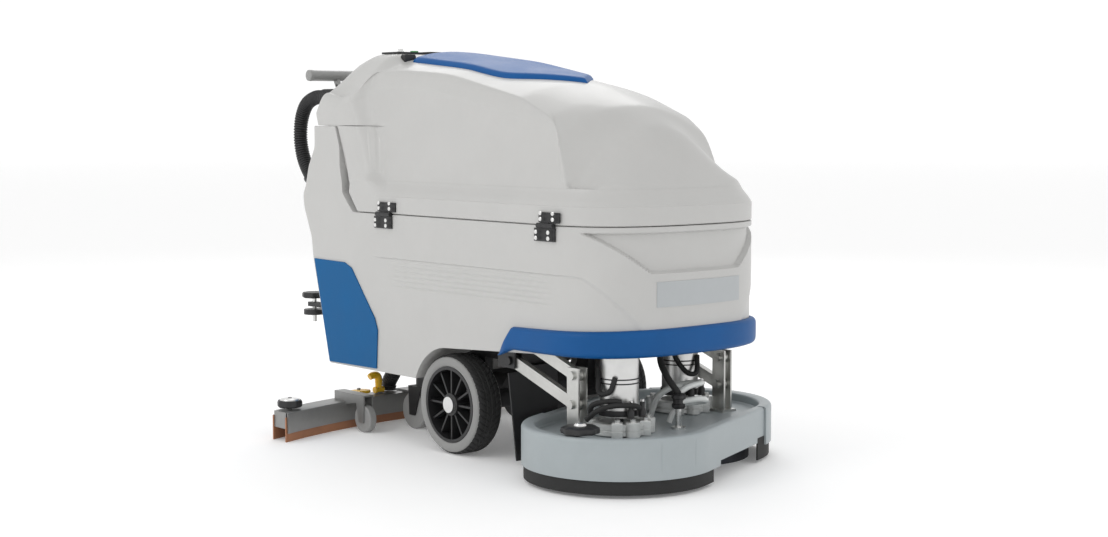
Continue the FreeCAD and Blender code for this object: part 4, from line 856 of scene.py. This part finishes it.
    def gasket(self) -> bpy.types.Object:
        """Rubber seal on the lid's seat: a closed loop of rounded section just inside the lid's edge.

        Returns:
            The seal's piece.
        """
        loop = self.lid_ring()
        section = ((-0.016, -0.0138), (-0.010, -0.0138), (-0.009, -0.012), (-0.011, -0.0105),
                   (-0.015, -0.0105),
                   (-0.017, -0.012), (-0.016, -0.0138))
        rows = [self.level(self.lid_loop(loop, grow), lift) for grow, lift in section]
        return piece_from_grid("lid_seal", np.array(rows))

    def make(self) -> None:
        """Build, dress and place the tank, its seal, its lid and the grip behind the lid."""
        place(dress(self.gasket(), RUBBER), "recovery", "black_rubber", "lid_gasket")
        latch = np.array([[-0.156, 0.334], [-0.120, 0.334], [-0.120, 0.352], [-0.156, 0.352]])
        mid = latch.mean(0)
        rows = [np.array([[x, y, z] for x, y in mid + (latch - mid) * k])
                for z, k in ((0.955, 1.0), (0.998, 1.0), (1.002, 0.85))]
        grip = dress(piece_from_grid("lid_grip", np.array(rows), ends=True), BLACK_PLASTIC)
        place(grip, "recovery", "control_black")
        place(dress(self.build(), SHELL), "recovery", "shell_grey", "recovery_tank")
        place(dress(self.lid(), BLUE_LID), "lid", "blue_gloss", "tank_lid")


@dataclass
class Bumper:
    """Blue band wrapped round the foot of the nose, rounded over its top and bottom edges."""

    thick: float = 0.0125

    def make(self) -> None:
        """Build, dress and place the bumper: an outward offset band, z from foot to brow per column."""
        _, y0, _, _ = PLAN.stations()
        keep = y0 < -0.205
        t = np.linspace(-1, 1, 26)[:, None]
        foot = np.interp(y0, [-0.42, -0.279, -0.226], [0.2905, 0.2895, 0.2705])[None]
        brow = np.interp(y0, [-0.606, -0.279, -0.226, -0.204], [0.3545, 0.3440, 0.2725, 0.2705])[None]
        z = 0.5 * (foot + brow) + 0.5 * (brow - foot) * t
        bulge = self.thick * (1 - np.abs(t) ** 6.0) ** 0.6 + 0.0 * z
        tip = ramp(-y0, 0.215, 0.26)[None]
        front = PLAN.right_half(HALF_W, z, LOWER_REAR, -(0.0006 + bulge * tip))
        back = PLAN.right_half(HALF_W, z[::-1], LOWER_REAR, 0.002)
        ring = np.concatenate([front, back, front[:1]], axis=0)[:, keep]
        whole = np.concatenate([ring[:, ::-1], ring * [-1, 1, 1]], axis=1)
        band = piece_from_grid("nose_bumper", whole.transpose(1, 0, 2)[:, :-1], ends=True, sharp=40.0)
        place(dress(band, BLUE_TRIM), "chassis", "blue_gloss", "front_bumper")


@dataclass
class Deck:
    """Brush deck: pressed hull with a rounded rim and sunk pan, covers and hand knob.

    The hull's outline is two circles joined by their tangents: the largest of the two circles'
    support functions, c . u + r, taken at every direction u.
    """

    lobes: tuple[tuple[float, float], tuple[float, float]] = ((-0.165, -0.512), (0.165, -0.377))
    radius: float = 0.227
    top_z: float = 0.132
    pan_z: float = 0.108
    pan_radius: float = 0.195

    def outline(self, radius: float, count: int = 420) -> Array:
        """The outline a + w (b - a) + r u, w switching from 0 to 1 where b lies further along u.

        Args:
            radius: radius of both circles.
            count: columns round it.

        Returns:
            count x 2 plan points.
        """
        a, b = np.array(self.lobes[0]), np.array(self.lobes[1])
        turn = np.linspace(0, 2 * np.pi, count, endpoint=False)
        u = np.stack([np.cos(turn), np.sin(turn)], axis=1)
        share = 1 / (1 + np.exp(-360.0 * (u @ (b - a))))
        return a + share[:, None] * (b - a) + radius * u

    def rim(self) -> bpy.types.Object:
        """Hull: side wall, rounded shoulder, rim, step down to the pan, and the hollow under it.

        Returns:
            The hull's piece.
        """
        shoulder, rows = 0.006, []
        for out, z in ((-0.011, 0.050), (-0.0055, 0.050), (-0.0055, 0.080), (-0.0055, 0.1250)):
            rows.append((self.radius + out, z))
        for t in np.linspace(0, np.pi / 2, 8):
            rows.append((self.radius - 0.0055 - shoulder * (1 - math.cos(t)),
                         self.top_z - 0.0006 - shoulder * (1 - math.sin(t))))
        for t in np.linspace(0, np.pi / 2, 6):
            rows.append((self.pan_radius + 0.006 * (1 - math.sin(t)), self.top_z - 0.006 * (1 - math.cos(t))))
        rows += [(self.pan_radius, self.pan_z + 0.004), (self.pan_radius - 0.005, self.pan_z),
                 (0.150, self.pan_z), (0.135, self.pan_z + 0.0012), (0.120, self.pan_z)]
        loops = [np.concatenate([self.outline(r), np.full((420, 1), z)], axis=1) for r, z in rows]
        mid = np.array([0.0, 0.5 * (self.lobes[0][1] + self.lobes[1][1]), 0.0])
        core = [mid + (loops[-1] - mid) * [k, k, 1] for k in (0.6, 0.3, 0.0)]
        back = [np.concatenate([self.outline(r), np.full((420, 1), z)], axis=1)
                for r, z in ((self.radius - 0.011, 0.098), (self.radius - 0.011, 0.0505))]
        lid = [mid * [1, 1, 0] + (back[0] - mid) * [k, k, 1] for k in (0.0, 0.5)]
        points = np.array(core[::-1] + loops[::-1] + back[::-1] + lid[::-1])
        return piece_from_grid("deck_hull", points, sharp=35.0)

    def cover(self, name: str, right: bool) -> bpy.types.Object:
        """Splash cover hung on the hull: a bent sheet with a rounded top edge, and a small latch outline.

        Args:
            name: the piece's name.
            right: True for the large cover of the right lobe, False for the left lobe's.

        Returns:
            The cover's piece.
        """
        section = [(-0.0050, 0.040), (0.0, 0.040)] + [(0.0, z) for z in (0.055, 0.070, 0.085, 0.100, 0.115)]
        section += [(-0.009 * (1 - math.cos(t)), 0.1240 + 0.009 * math.sin(t)) for t in np.linspace(0, 1.57,
                                                                                                    8)]
        section += [(-0.020, 0.1330), (-0.024, 0.1322), (-0.024, 0.1316), (-0.0050, 0.1316), (-0.0050, 0.126)]
        loops = np.array([np.concatenate([self.outline(self.radius + out, 900), np.full((900, 1), z)], axis=1)
                          for out, z in section])
        edge = loops[1]
        near = (edge[:, 0] < 0.009) & ((edge[:, 1] < -0.47) | (edge[:, 0] < -0.20))
        keep = near if right else edge[:, 0] > 0.256
        start = int(np.argmax(keep & ~np.roll(keep, 1)))
        order = np.roll(np.arange(900), -start)[:int(keep.sum())]
        strip = loops[:, order]
        x, z = strip[..., 0], strip[..., 2]
        if right:
            outline = (np.abs(x + 0.236) < 0.0012) | (np.abs(x + 0.142) < 0.0012)
            strip[..., 1] += 0.0012 * outline * (z > 0.06) * (z < 0.120) * (strip[..., 1] < -0.6)
        return dress(piece_from_grid(name, strip.transpose(1, 0, 2), ends=True, sharp=40), DECK_PAINT)

    def knob(self) -> bpy.types.Object:
        """Eight-lobed hand knob with a bright domed cap.

        Returns:
            The knob's piece.
        """
        foot = (-0.335, -0.568, 0.0)
        grip = dress(turned("knob_grip", [(0.0, 0.1335), (0.030, 0.1335), (0.0415, 0.136), (0.043, 0.141),
                                          (0.0415, 0.148), (0.034, 0.1515), (0.020, 0.152), (0.0, 0.152)],
                            foot, sides=96, wave=(8, 0.05), sharp=50), BLACK_PLASTIC)
        cap = dress(turned("knob_cap", [(0.0, 0.1515), (0.0145, 0.1515), (0.0145, 0.154), (0.012, 0.158),
                                        (0.007, 0.160), (0.0, 0.1608)], foot), STEEL)
        return join_meshes("deck_hand_knob", [grip, cap])

    def motor_trim(self) -> bpy.types.Object:
        """Dark bands, end cap and terminal blocks on both brush motors.

        Returns:
            The bands of both motors as one piece.
        """
        parts = []
        for x, y in self.lobes:
            for low, high, out in ((0.226, 0.229, 0.0458), (0.236, 0.239, 0.0458), (0.300, 0.3215, 0.0468),
                                   (0.152, 0.166, 0.0475)):
                profile = [(0.040, low), (out, low), (out + 0.0004, low + 0.0008),
                           (out + 0.0004, high - 0.0008),
                           (out, high), (0.040, high)]
                parts.append(dress(turned("band", profile + profile[:1], (x, y, 0.0), sides=64),
                                   BLACK_PLASTIC))
            for side in (-1, 1):
                parts.append(dress(turned("terminal",
                                          [(0, 0.0), (0.0085, 0.0), (0.0085, 0.016), (0.006, 0.020),
                                                       (0.006, 0.034), (0.0, 0.035)],
                                          (x + 0.018 * side, y - 0.058, 0.152), sides=20), BLACK_PLASTIC))
                parts.append(dress(turned("terminal_nut",
                                          [(0, 0.0), (0.0045, 0.0), (0.0045, 0.005), (0, 0.006)],
                                          (x + 0.018 * side, y - 0.058, 0.187), sides=6, sharp=20), STEEL))
        return join_meshes("motor_bands", parts)

    def clamps(self) -> bpy.types.Object:
        """Bolted clamp blocks round each motor's foot, with split lines and cap screws.

        Returns:
            Both motors' clamp blocks as one piece.
        """
        parts = []
        for x, y in self.lobes:
            collar = [(0.0485, 0.110), (0.066, 0.110), (0.068, 0.112), (0.068, 0.120), (0.066, 0.1215),
                      (0.066, 0.1235), (0.068, 0.125), (0.068, 0.136), (0.066, 0.138), (0.0485, 0.138)]
            parts.append(dress(turned("collar", collar + collar[:1], (x, y, 0.0), sides=96, wave=(4, 0.02)),
                               CAST_ALLOY))
            for angle in (3.9, 4.45, 5.1, 5.7, 0.6, 2.4):
                bx, by = x + 0.067 * math.cos(angle), y + 0.067 * math.sin(angle)
                block = [(0, 0.109), (0.0165, 0.109), (0.0175, 0.111), (0.0175, 0.1235), (0.0162, 0.1245),
                         (0.0175, 0.1255), (0.0175, 0.142), (0.016, 0.1435), (0, 0.1435)]
                parts.append(dress(turned("lug", block, (bx, by, 0.0), sides=4 if angle in (3.9, 5.1) else 24,
                                          sharp=25), CAST_ALLOY))
                screw = [(0, 0.1435), (0.0068, 0.1435), (0.0068, 0.150), (0.0058, 0.1508), (0.0034, 0.1508),
                         (0.0034, 0.147), (0, 0.147)]
                parts.append(dress(turned("screw", screw, (bx, by, 0.0), sides=24), STEEL))
        return join_meshes("motor_clamp_blocks", parts)

    def lines(self) -> None:
        """Motor cable loops and the pale water hoses from the manifold, all held at both ends."""
        def by(angle: float, reach: float, z: float) -> tuple[float, float, float]:
            """A point beside the motor at x, y, at an angle in degrees."""
            turn = math.radians(angle)
            return (x + reach * math.cos(turn), y + reach * math.sin(turn), z)

        x, y = self.lobes[0]
        loops = [[by(140, 0.049, 0.262), by(156, 0.051, 0.236), by(172, 0.058, 0.212), by(190, 0.061, 0.206),
                  by(206, 0.056, 0.214), by(216, 0.048, 0.244)],
                 [by(176, 0.096, 0.148), by(192, 0.090, 0.170), by(212, 0.078, 0.182), by(236, 0.074, 0.184),
                  by(262, 0.066, 0.180), by(278, 0.060, 0.172)],
                 [by(160, 0.070, 0.150), by(178, 0.082, 0.180), by(204, 0.072, 0.192), by(232, 0.064, 0.190)]]
        x, y = self.lobes[1]
        loops.append([by(204, 0.049, 0.262), by(222, 0.052, 0.234), by(245, 0.060, 0.210),
                      by(268, 0.060, 0.212),
                      by(285, 0.049, 0.250)])
        cables = [dress(swept("motor_cable", through(points, 90), 0.0062, 16, (0.3, 0.9, 0.3)), RUBBER)
                  for points in loops]
        place(join_meshes("motor_cables", cables), "deck", "black_rubber")
        hoses = [[(-0.020, -0.552, 0.186), (0.012, -0.560, 0.204), (0.066, -0.548, 0.206),
                  (0.100, -0.508, 0.200),
                  (0.088, -0.466, 0.192), (0.052, -0.452, 0.182), (0.030, -0.436, 0.160),
                  (0.024, -0.420, 0.118)],
                 [(-0.014, -0.566, 0.172), (0.018, -0.590, 0.178), (0.050, -0.580, 0.170),
                  (0.052, -0.548, 0.162),
                  (0.026, -0.528, 0.158), (-0.002, -0.524, 0.140), (-0.012, -0.520, 0.116)],
                 [(-0.020, -0.560, 0.190), (-0.030, -0.530, 0.230), (-0.026, -0.505, 0.262),
                  (-0.020, -0.498, 0.300)]]
        pipes = [dress(swept("water_line", through(points, 140), 0.0072, 18, (0.1, 0.1, 1.0)), CLEAR_HOSE)
                 for points in hoses[:2]]
        pipes.append(dress(swept("feed_line", through(hoses[2], 80), 0.0078, 18, (1.0, 0.1, 0.0)), RUBBER))
        place(join_meshes("water_lines", pipes), "deck", "hose_black")
        foot = (-0.020, -0.560, 0.0)
        post = dress(turned("post", [(0, 0.108), (0.017, 0.108), (0.017, 0.1125), (0.0075, 0.114),
                                     (0.0075, 0.158),
                                     (0.0, 0.158)], foot, sides=32), STEEL)
        profile = [(0, 0.156), (0.013, 0.156), (0.0155, 0.160), (0.0155, 0.166), (0.0125, 0.168),
                   (0.0125, 0.178),
                   (0.0165, 0.180), (0.0165, 0.188), (0.012, 0.192), (0.006, 0.1925), (0, 0.1925)]
        body = dress(turned("manifold", profile, foot, sides=48, wave=(6, 0.06)), BLACK_PLASTIC)
        place(join_meshes("manifold_stand", [post, body]), "deck", "fitting_black", "water_manifold")

    def make(self) -> None:
        """Build, dress and place the deck's pieces."""
        place(dress(self.rim(), DECK_PAINT), "deck", "deck_paint", "deck_housing")
        covers = join_meshes("splash_covers", [self.cover("near_cover", True),
                                               self.cover("far_cover", False)])
        place(covers, "deck", "deck_paint", "side_covers")
        place(self.knob(), "skirt_knob", "knob_black", "deck_knob")
        place(self.motor_trim(), "deck", "control_black")
        place(self.clamps(), "deck", "clamp_alloy", "brush_clamps")
        self.lines()


@dataclass
class DriveWheel:
    """Drive tyre: grey cheeks, black tread with cross cuts, and a rounded shoulder."""

    radius: float = 0.125
    width: float = 0.078
    face_x: float = 0.285
    centre: tuple[float, float] = (AXLE_Y, AXLE_Z)

    def tyre(self, side: int) -> bpy.types.Object:
        """Tyre as cheeks and tread; tread radius is R - d where a cut falls, cuts every 7.5 degrees.

        Args:
            side: -1 for the machine's right, 1 for its left.

        Returns:
            The tyre's piece.
        """
        y, z = self.centre
        outer, inner = self.face_x, self.face_x - self.width
        cheek = [(0.0952, inner + 0.004), (0.0952, outer - 0.004), (0.098, outer - 0.0015), (0.104, outer),
                 (0.112, outer - 0.0006), (0.1165, outer - 0.0022), (0.1185, outer - 0.005),
                 (0.1185, inner + 0.005),
                 (0.1165, inner + 0.0022), (0.112, inner), (0.098, inner), (0.0952, inner + 0.004)]
        cheek = [(a, h * side) for a, h in cheek]
        ring = dress(turned("cheek", cheek, (0.0, y, z), "X", 128), TYRE)
        turn = np.linspace(0, 2 * np.pi, 384, endpoint=False)
        across = np.linspace(-1, 1, 25)[:, None]
        crown = self.radius - 0.0085 * np.abs(across) ** 7
        away = np.abs(across)
        cut = (np.cos(48 * turn[None] + 9 * away) > 0.80) * (away > 0.12) * (away < 0.99)
        groove = (np.abs(away - 0.42) < 0.05) | (away < 0.04)
        tread = crown - 0.0022 * np.maximum(cut, groove + 0 * turn[None])
        x = (outer + inner) / 2 + across * (self.width / 2 - 0.0035) + 0 * turn[None]
        rows = np.stack([side * x, y + tread * np.cos(turn), z + tread * np.sin(turn)], axis=2)
        core = np.stack([side * x[[0, -1]], y + 0.116 * np.cos(turn) + 0 * x[[0, -1]],
                         z + 0.116 * np.sin(turn) + 0 * x[[0, -1]]], axis=2)
        rows = np.concatenate([core[:1], rows, core[1:], core[:1]], axis=0)
        band = dress(piece_from_grid("tread", rows, sharp=25), TREAD)
        return join_meshes(("right" if side < 0 else "left") + "_tyre_cover", [ring, band])

    def make(self) -> None:
        """Build and place both tyres."""
        for side, word in ((-1, "right"), (1, "left")):
            place(self.tyre(side), word + "_wheel", "tyre_grey", word + "_tyre")


@dataclass
class Hoses:
    """Ridged suction hose behind the console, its cuffs, and the elbow over the squeegee."""

    hose_line: ClassVar[list[Point]] = [
        (-0.235, 0.5985, 0.890), (-0.235, 0.642, 0.890), (-0.235, 0.688, 0.872), (-0.235, 0.715, 0.832),
        (-0.235, 0.722, 0.780), (-0.235, 0.711, 0.732), (-0.235, 0.686, 0.692), (-0.235, 0.655, 0.664),
        (-0.235, 0.628, 0.641)]
    foot_line: ClassVar[list[Point]] = [(-0.235, 0.668, 0.674), (-0.235, 0.650, 0.659),
                                        (-0.235, 0.622, 0.636)]
    cuff_line: ClassVar[list[Point]] = [(-0.235, 0.545, 0.890), (-0.235, 0.57, 0.890), (-0.235, 0.597, 0.890)]
    elbow_line: ClassVar[list[Point]] = [
        (-0.092, 0.508, 0.082), (-0.092, 0.508, 0.104), (-0.092, 0.486, 0.132), (-0.092, 0.464, 0.164),
        (-0.092, 0.458, 0.198)]

    def ridged(self, name: str, line: Array, radius: float, pitch: float, depth: float) -> bpy.types.Object:
        """A tube with ridges: radius r - d (0.5 - 0.5 cos(2 pi s / pitch))^2 at arc length s.

        Args:
            name: the piece's name.
            line: n x 3 samples of the centre line.
            radius: radius over the ridges.
            pitch: length of one ridge.
            depth: depth of the grooves.

        Returns:
            The tube.
        """
        s = np.concatenate([[0], np.cumsum(np.linalg.norm(np.diff(line, axis=0), axis=1))])
        return swept(name, line, radius - depth * (0.5 - 0.5 * np.cos(2 * np.pi * s / pitch)) ** 2)

    def make(self) -> None:
        """Build, dress and place the hose with its collar, the upper cuff and the elbow."""
        tube = self.ridged("suction_hose_ridges", through(self.hose_line, 620), 0.0195, 0.0072, 0.0030)
        collar = self.ridged("hose_collar", through(self.foot_line, 60), 0.0235, 0.02, 0.0012)
        piece = join_meshes("suction_hose_tube", [dress(tube, HOSE), dress(collar, BLACK_PLASTIC)])
        place(piece, "chassis", "hose_black", "suction_hose")
        cuff = self.ridged("hose_top_cuff", through(self.cuff_line, 160), 0.0232, 0.0088, 0.0022)
        place(dress(cuff, HOSE), "recovery", "hose_black", "hose_cuff")
        elbow = self.ridged("squeegee_elbow", through(self.elbow_line, 260), 0.0208, 0.0078, 0.0024)
        place(dress(elbow, HOSE), "squeegee", "hose_black", "suction_elbow")


@dataclass
class BodyTrim:
    """Fittings on the body: front plate, hinge screws and the handle's end caps."""

    plate_z: tuple[float, float] = (0.404, 0.462)
    plate_x: tuple[float, float] = (-0.132, 0.150)
    plate_rise: float = 0.0012
    hinge_z: float = 0.5885
    hinge_y: tuple[tuple[float, float], ...] = ((0.191, 0.284), (-0.448, -0.360))
    leaf_shift: float = 0.016
    handle_y: float = 0.662
    handle_z: float = 0.951

    def front_plate(self) -> None:
        """The plain silver-grey plate on the nose, a thin offset of the wall."""
        _, y0, _, _ = PLAN.stations()
        z = np.linspace(*self.plate_z, 16)[:, None] + np.zeros((1, len(y0)))
        out = both_halves(PLAN.right_half(HALF_W, z, LOWER_REAR, -self.plate_rise))
        inn = both_halves(PLAN.right_half(HALF_W, z, LOWER_REAR, 0.004))
        x = out[0, :, 0]
        cols = (x > self.plate_x[0]) & (x < self.plate_x[1]) & (out[0, :, 1] < -0.30)
        order = np.argsort(x[cols])
        out, inn = out[:, cols][:, order], inn[:, cols][:, order]
        ring = np.concatenate([out, inn[::-1]], axis=0)
        plate = piece_from_grid("front_plate", ring.transpose(1, 0, 2), ends=True)
        place(dress(plate, PLATE_GREY), "chassis", "shell_grey")

    def hinge_screws(self) -> None:
        """Four bright pan-head screws in each hinge leaf."""
        head = [(0, -0.0003), (0.0052, -0.0003), (0.0050, -0.0015), (0.0032, -0.0026), (0, -0.0029)]
        for body, node, shift, up in (("chassis", "hinge_lower_leaves", self.leaf_shift, -1),
                                      ("recovery", "hinge_upper_leaves", 0.0, 1)):
            low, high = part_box(node)
            face, parts = min(low[0], high[0]), []
            for y0, y1 in self.hinge_y:
                for fy in (0.2, 0.8):
                    for fz in (0.42, 0.80):
                        y = y0 + shift + fy * (y1 - y0 - self.leaf_shift)
                        z = self.hinge_z + up * fz * 0.036
                        parts.append(dress(turned("screw", head, (face + 0.0022, y, z), "X", 20), STEEL))
            place(join_meshes(node + "_screws", parts), body, "bright_steel")

    def handle_caps(self) -> None:
        """Light rounded end caps on the grip tube."""
        parts = []
        for side in (-1, 1):
            cap = [(0, 0.0), (0.0120, 0.0), (0.0148, 0.0015), (0.0154, 0.004), (0.0154, 0.012),
                   (0.0150, 0.013)]
            cap = [(r, side * (0.2465 - h)) for r, h in cap] + [(0.0150, side * 0.2335)]
            parts.append(dress(turned("cap", cap, (0.0, self.handle_y, self.handle_z), "X", 40), GREY_WHEEL))
        place(join_meshes("handle_end_caps", parts), "chassis", "handle_grey")

    def make(self) -> None:
        """Build and place the body's fittings."""
        self.front_plate()
        self.hinge_screws()
        self.handle_caps()


@dataclass
class Squeegee:
    """Strap, wing knobs, end knobs and lever of the squeegee, and the wheel of its adjuster.

    The holder is an arc about a point far in front: y = c + sqrt(R^2 - x^2).
    """

    arc_y: float = -0.8371
    front_r: float = 1.3251
    knob_r: float = 1.3511
    half_w: float = 0.500
    wing_x: float = 0.200
    end_x: float = 0.462
    lever_x: float = -0.134
    lever_z: float = 0.087
    adjuster: tuple[float, float] = (-0.230, 0.668)

    def on_arc(self, radius: float, x: float) -> float:
        """The y of a point at x on an arc of the given radius."""
        return self.arc_y + math.sqrt(radius ** 2 - x ** 2)

    def strap(self) -> None:
        """Front steel strap: a bent section carried along the holder's arc."""
        x = np.linspace(-self.half_w, self.half_w, 160)
        section = [(-0.0045, 0.022), (-0.0075, 0.022), (-0.0085, 0.024), (-0.0085, 0.070), (-0.0070, 0.0745),
                   (0.0, 0.0768), (0.012, 0.0768), (0.012, 0.0758), (0.0005, 0.0758), (-0.0045, 0.072)]
        rows = [np.stack([x, self.arc_y + np.sqrt((self.front_r + out) ** 2 - x ** 2), z + 0 * x], axis=1)
                for out, z in section]
        strap = piece_from_grid("squeegee_strap", np.array(rows).transpose(1, 0, 2), ends=True)
        place(dress(strap, SQUEEGEE), "squeegee", "squeegee_steel")

    def knobs(self, side: int, word: str) -> None:
        """Two-lobed yellow wing knob and black end knob with a bright top, of one side.

        Args:
            side: -1 for the machine's right, 1 for its left.
            word: the side's name.
        """
        wing = [(0, 0.0775), (0.013, 0.0775), (0.0135, 0.082), (0.026, 0.084), (0.0275, 0.087),
                (0.026, 0.0915),
                (0.014, 0.0935), (0.0, 0.094)]
        foot = (side * self.wing_x, self.on_arc(self.knob_r, self.wing_x), 0.0)
        knob = dress(turned(word + "_wing", wing, foot, sides=72, wave=(2, 0.30)), YELLOW)
        place(knob, word + "_knob", "yellow", word + "_wing_knob")
        foot = (side * self.end_x, self.on_arc(self.knob_r, self.end_x), 0.0)
        cap = [(0, 0.0823), (0.028, 0.0823), (0.0315, 0.085), (0.0320, 0.095), (0.0300, 0.1005),
               (0.0285, 0.1012),
               (0, 0.1012)]
        dome = [(0, 0.1010), (0.026, 0.1010), (0.024, 0.1042), (0.014, 0.1062), (0, 0.1066)]
        ring = dress(turned("ring", cap, foot, sides=96, wave=(8, 0.03)), BLACK_PLASTIC)
        top = dress(turned("top", dome, foot, sides=64), STEEL)
        place(join_meshes(word + "_end_knob", [ring, top]), word + "_roller", "knob_black",
              word + "_end_roller")

    def lever(self) -> None:
        """Yellow cam lever: a hooked bar, thickest halfway, on a round eye."""
        x, z = self.lever_x, self.lever_z
        y = self.on_arc(self.front_r, x) + 0.018
        arm = through([(x, y, z), (x, y, 0.106), (x - 0.001, y, 0.120), (x - 0.008, y, 0.128),
                       (x - 0.022, y, 0.128), (x - 0.030, y, 0.124)], 80)
        wide = 0.0085 + 0.002 * np.sin(np.linspace(0, 3.14, 80))
        hook = dress(swept("hook", arm, wide, 20, (0.0, 1.0, 0.0)), YELLOW)
        profile = [(0, -0.014), (0.009, -0.014), (0.0095, -0.010), (0.0095, 0.010), (0.009, 0.014),
                   (0, 0.014)]
        eye = dress(turned("eye", profile, (x, y, z), "X", 32), YELLOW)
        place(join_meshes("blade_cam_lever", [hook, eye]), "lever", "yellow", "blade_lever")

    def adjuster_wheel(self) -> None:
        """Eight-lobed adjuster handwheel on a bright spindle."""
        foot = (*self.adjuster, 0.0)
        wheel = [(0, 0.336), (0.030, 0.336), (0.0335, 0.339), (0.0335, 0.347), (0.031, 0.3515),
                 (0.016, 0.352),
                 (0, 0.352)]
        grip = dress(turned("grip", wheel, foot, sides=96, wave=(8, 0.04)), BLACK_PLASTIC)
        low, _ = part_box("adjuster_handwheel")
        rod = [(0, low[2]), (0.0062, low[2]), (0.0065, low[2] + 0.001), (0.0065, 0.334), (0, 0.334)]
        spindle = dress(turned("spindle", rod, foot, sides=32), STEEL)
        place(join_meshes("adjuster_wheel", [grip, spindle]), "adjuster", "knob_black", "adjuster_handwheel")

    def make(self) -> None:
        """Build and place all the squeegee's pieces."""
        self.strap()
        for side, word in ((-1, "right"), (1, "left")):
            self.knobs(side, word)
        self.lever()
        self.adjuster_wheel()


# ------------------------------------------------------------------ studio
FLOOR_HALF, WALL_R = 40.0, 38.0


def studio() -> None:
    """Camera, pale floor, a white wall far round it, soft lights and a plain white world."""
    data = bpy.data.cameras.new("camera")
    data.sensor_width, data.lens, data.clip_start = 36.0, 57.08, 0.05
    camera = bpy.data.objects.new("camera", data)
    camera.location = (-2.8967, -3.46289, 0.83306)
    camera.rotation_euler = (math.radians(90 - 4.881), 0.0, math.radians(-40.642))
    bpy.context.scene.collection.objects.link(camera)
    bpy.context.scene.camera = camera
    corners = FLOOR_HALF * np.array([[-1, -1, 0], [1, -1, 0], [1, 1, 0], [-1, 1, 0]], float)
    mesh = bpy.data.meshes.new("studio_floor")
    mesh.from_pydata(corners.tolist(), [], [(0, 1, 2, 3)])
    floor = bpy.data.objects.new("studio_floor", mesh)
    bpy.context.scene.collection.objects.link(floor)
    dress(floor, FLOOR)
    glow = FLOOR.material().node_tree.nodes["Principled BSDF"].inputs
    glow["Emission Color"].default_value, glow["Emission Strength"].default_value = (1, 1, 1, 1), 0.12
    turn = np.linspace(0, 2 * np.pi, 97)
    ring = np.stack([np.stack([WALL_R * np.cos(turn), WALL_R * np.sin(turn), np.full(97, height)], axis=1)
                     for height in (-0.5, 14.0)])
    backdrop = piece_from_grid("studio_backdrop", ring)
    dress(backdrop, BACKDROP)
    lit = BACKDROP.material().node_tree.nodes["Principled BSDF"].inputs
    lit["Emission Color"].default_value, lit["Emission Strength"].default_value = (1, 1, 1, 1), 1.0
    world = bpy.data.worlds.new("studio_world")
    world.use_nodes = True
    world.node_tree.nodes["Background"].inputs["Color"].default_value = (1.0, 1.0, 1.0, 1.0)
    world.node_tree.nodes["Background"].inputs["Strength"].default_value = 0.85
    bpy.context.scene.world = world
    bpy.context.scene.view_settings.view_transform = "Standard"
    for name, where, power, size in (("key", (-4.6, 0.4, 3.4), 40.0, 2.2),
                                     ("front", (0.4, -4.8, 3.2), 4.0, 2.2),
                                     ("back", (2.6, 3.0, 3.6), 40.0, 2.4)):
        lamp = bpy.data.lights.new(name, "AREA")
        lamp.energy, lamp.size = power, size
        light = bpy.data.objects.new(name, lamp)
        aim = np.array([0.0, 0.0, 0.5]) - np.array(where)
        light.location = where
        yaw, pitch = math.atan2(aim[1], aim[0]), math.atan2(math.hypot(aim[0], aim[1]), -aim[2])
        light.rotation_euler = (pitch, 0.0, yaw - math.pi / 2)
        bpy.context.scene.collection.objects.link(light)


def dress_frame(frame: dict[str, Any]) -> None:
    """Give every CAD node its finish on all its slots.

    Args:
        frame: the loaded frame.
    """
    for finish, nodes in NODE_FINISHES.items():
        for node in nodes:
            piece = frame["nodes"][node]
            piece.data.materials.clear()
            piece.data.materials.append(finish.material())


def main() -> None:
    """Build the machine piece by piece over the frame."""
    logging.basicConfig(level=logging.INFO, format="%(name)s: %(message)s")
    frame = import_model()
    studio()
    dress_frame(frame)
    LowerShell().make()
    UpperShell().make()
    Bumper().make()
    Deck().make()
    DriveWheel().make()
    Hoses().make()
    BodyTrim().make()
    Squeegee().make()


if __name__ == "__main__":
    main()
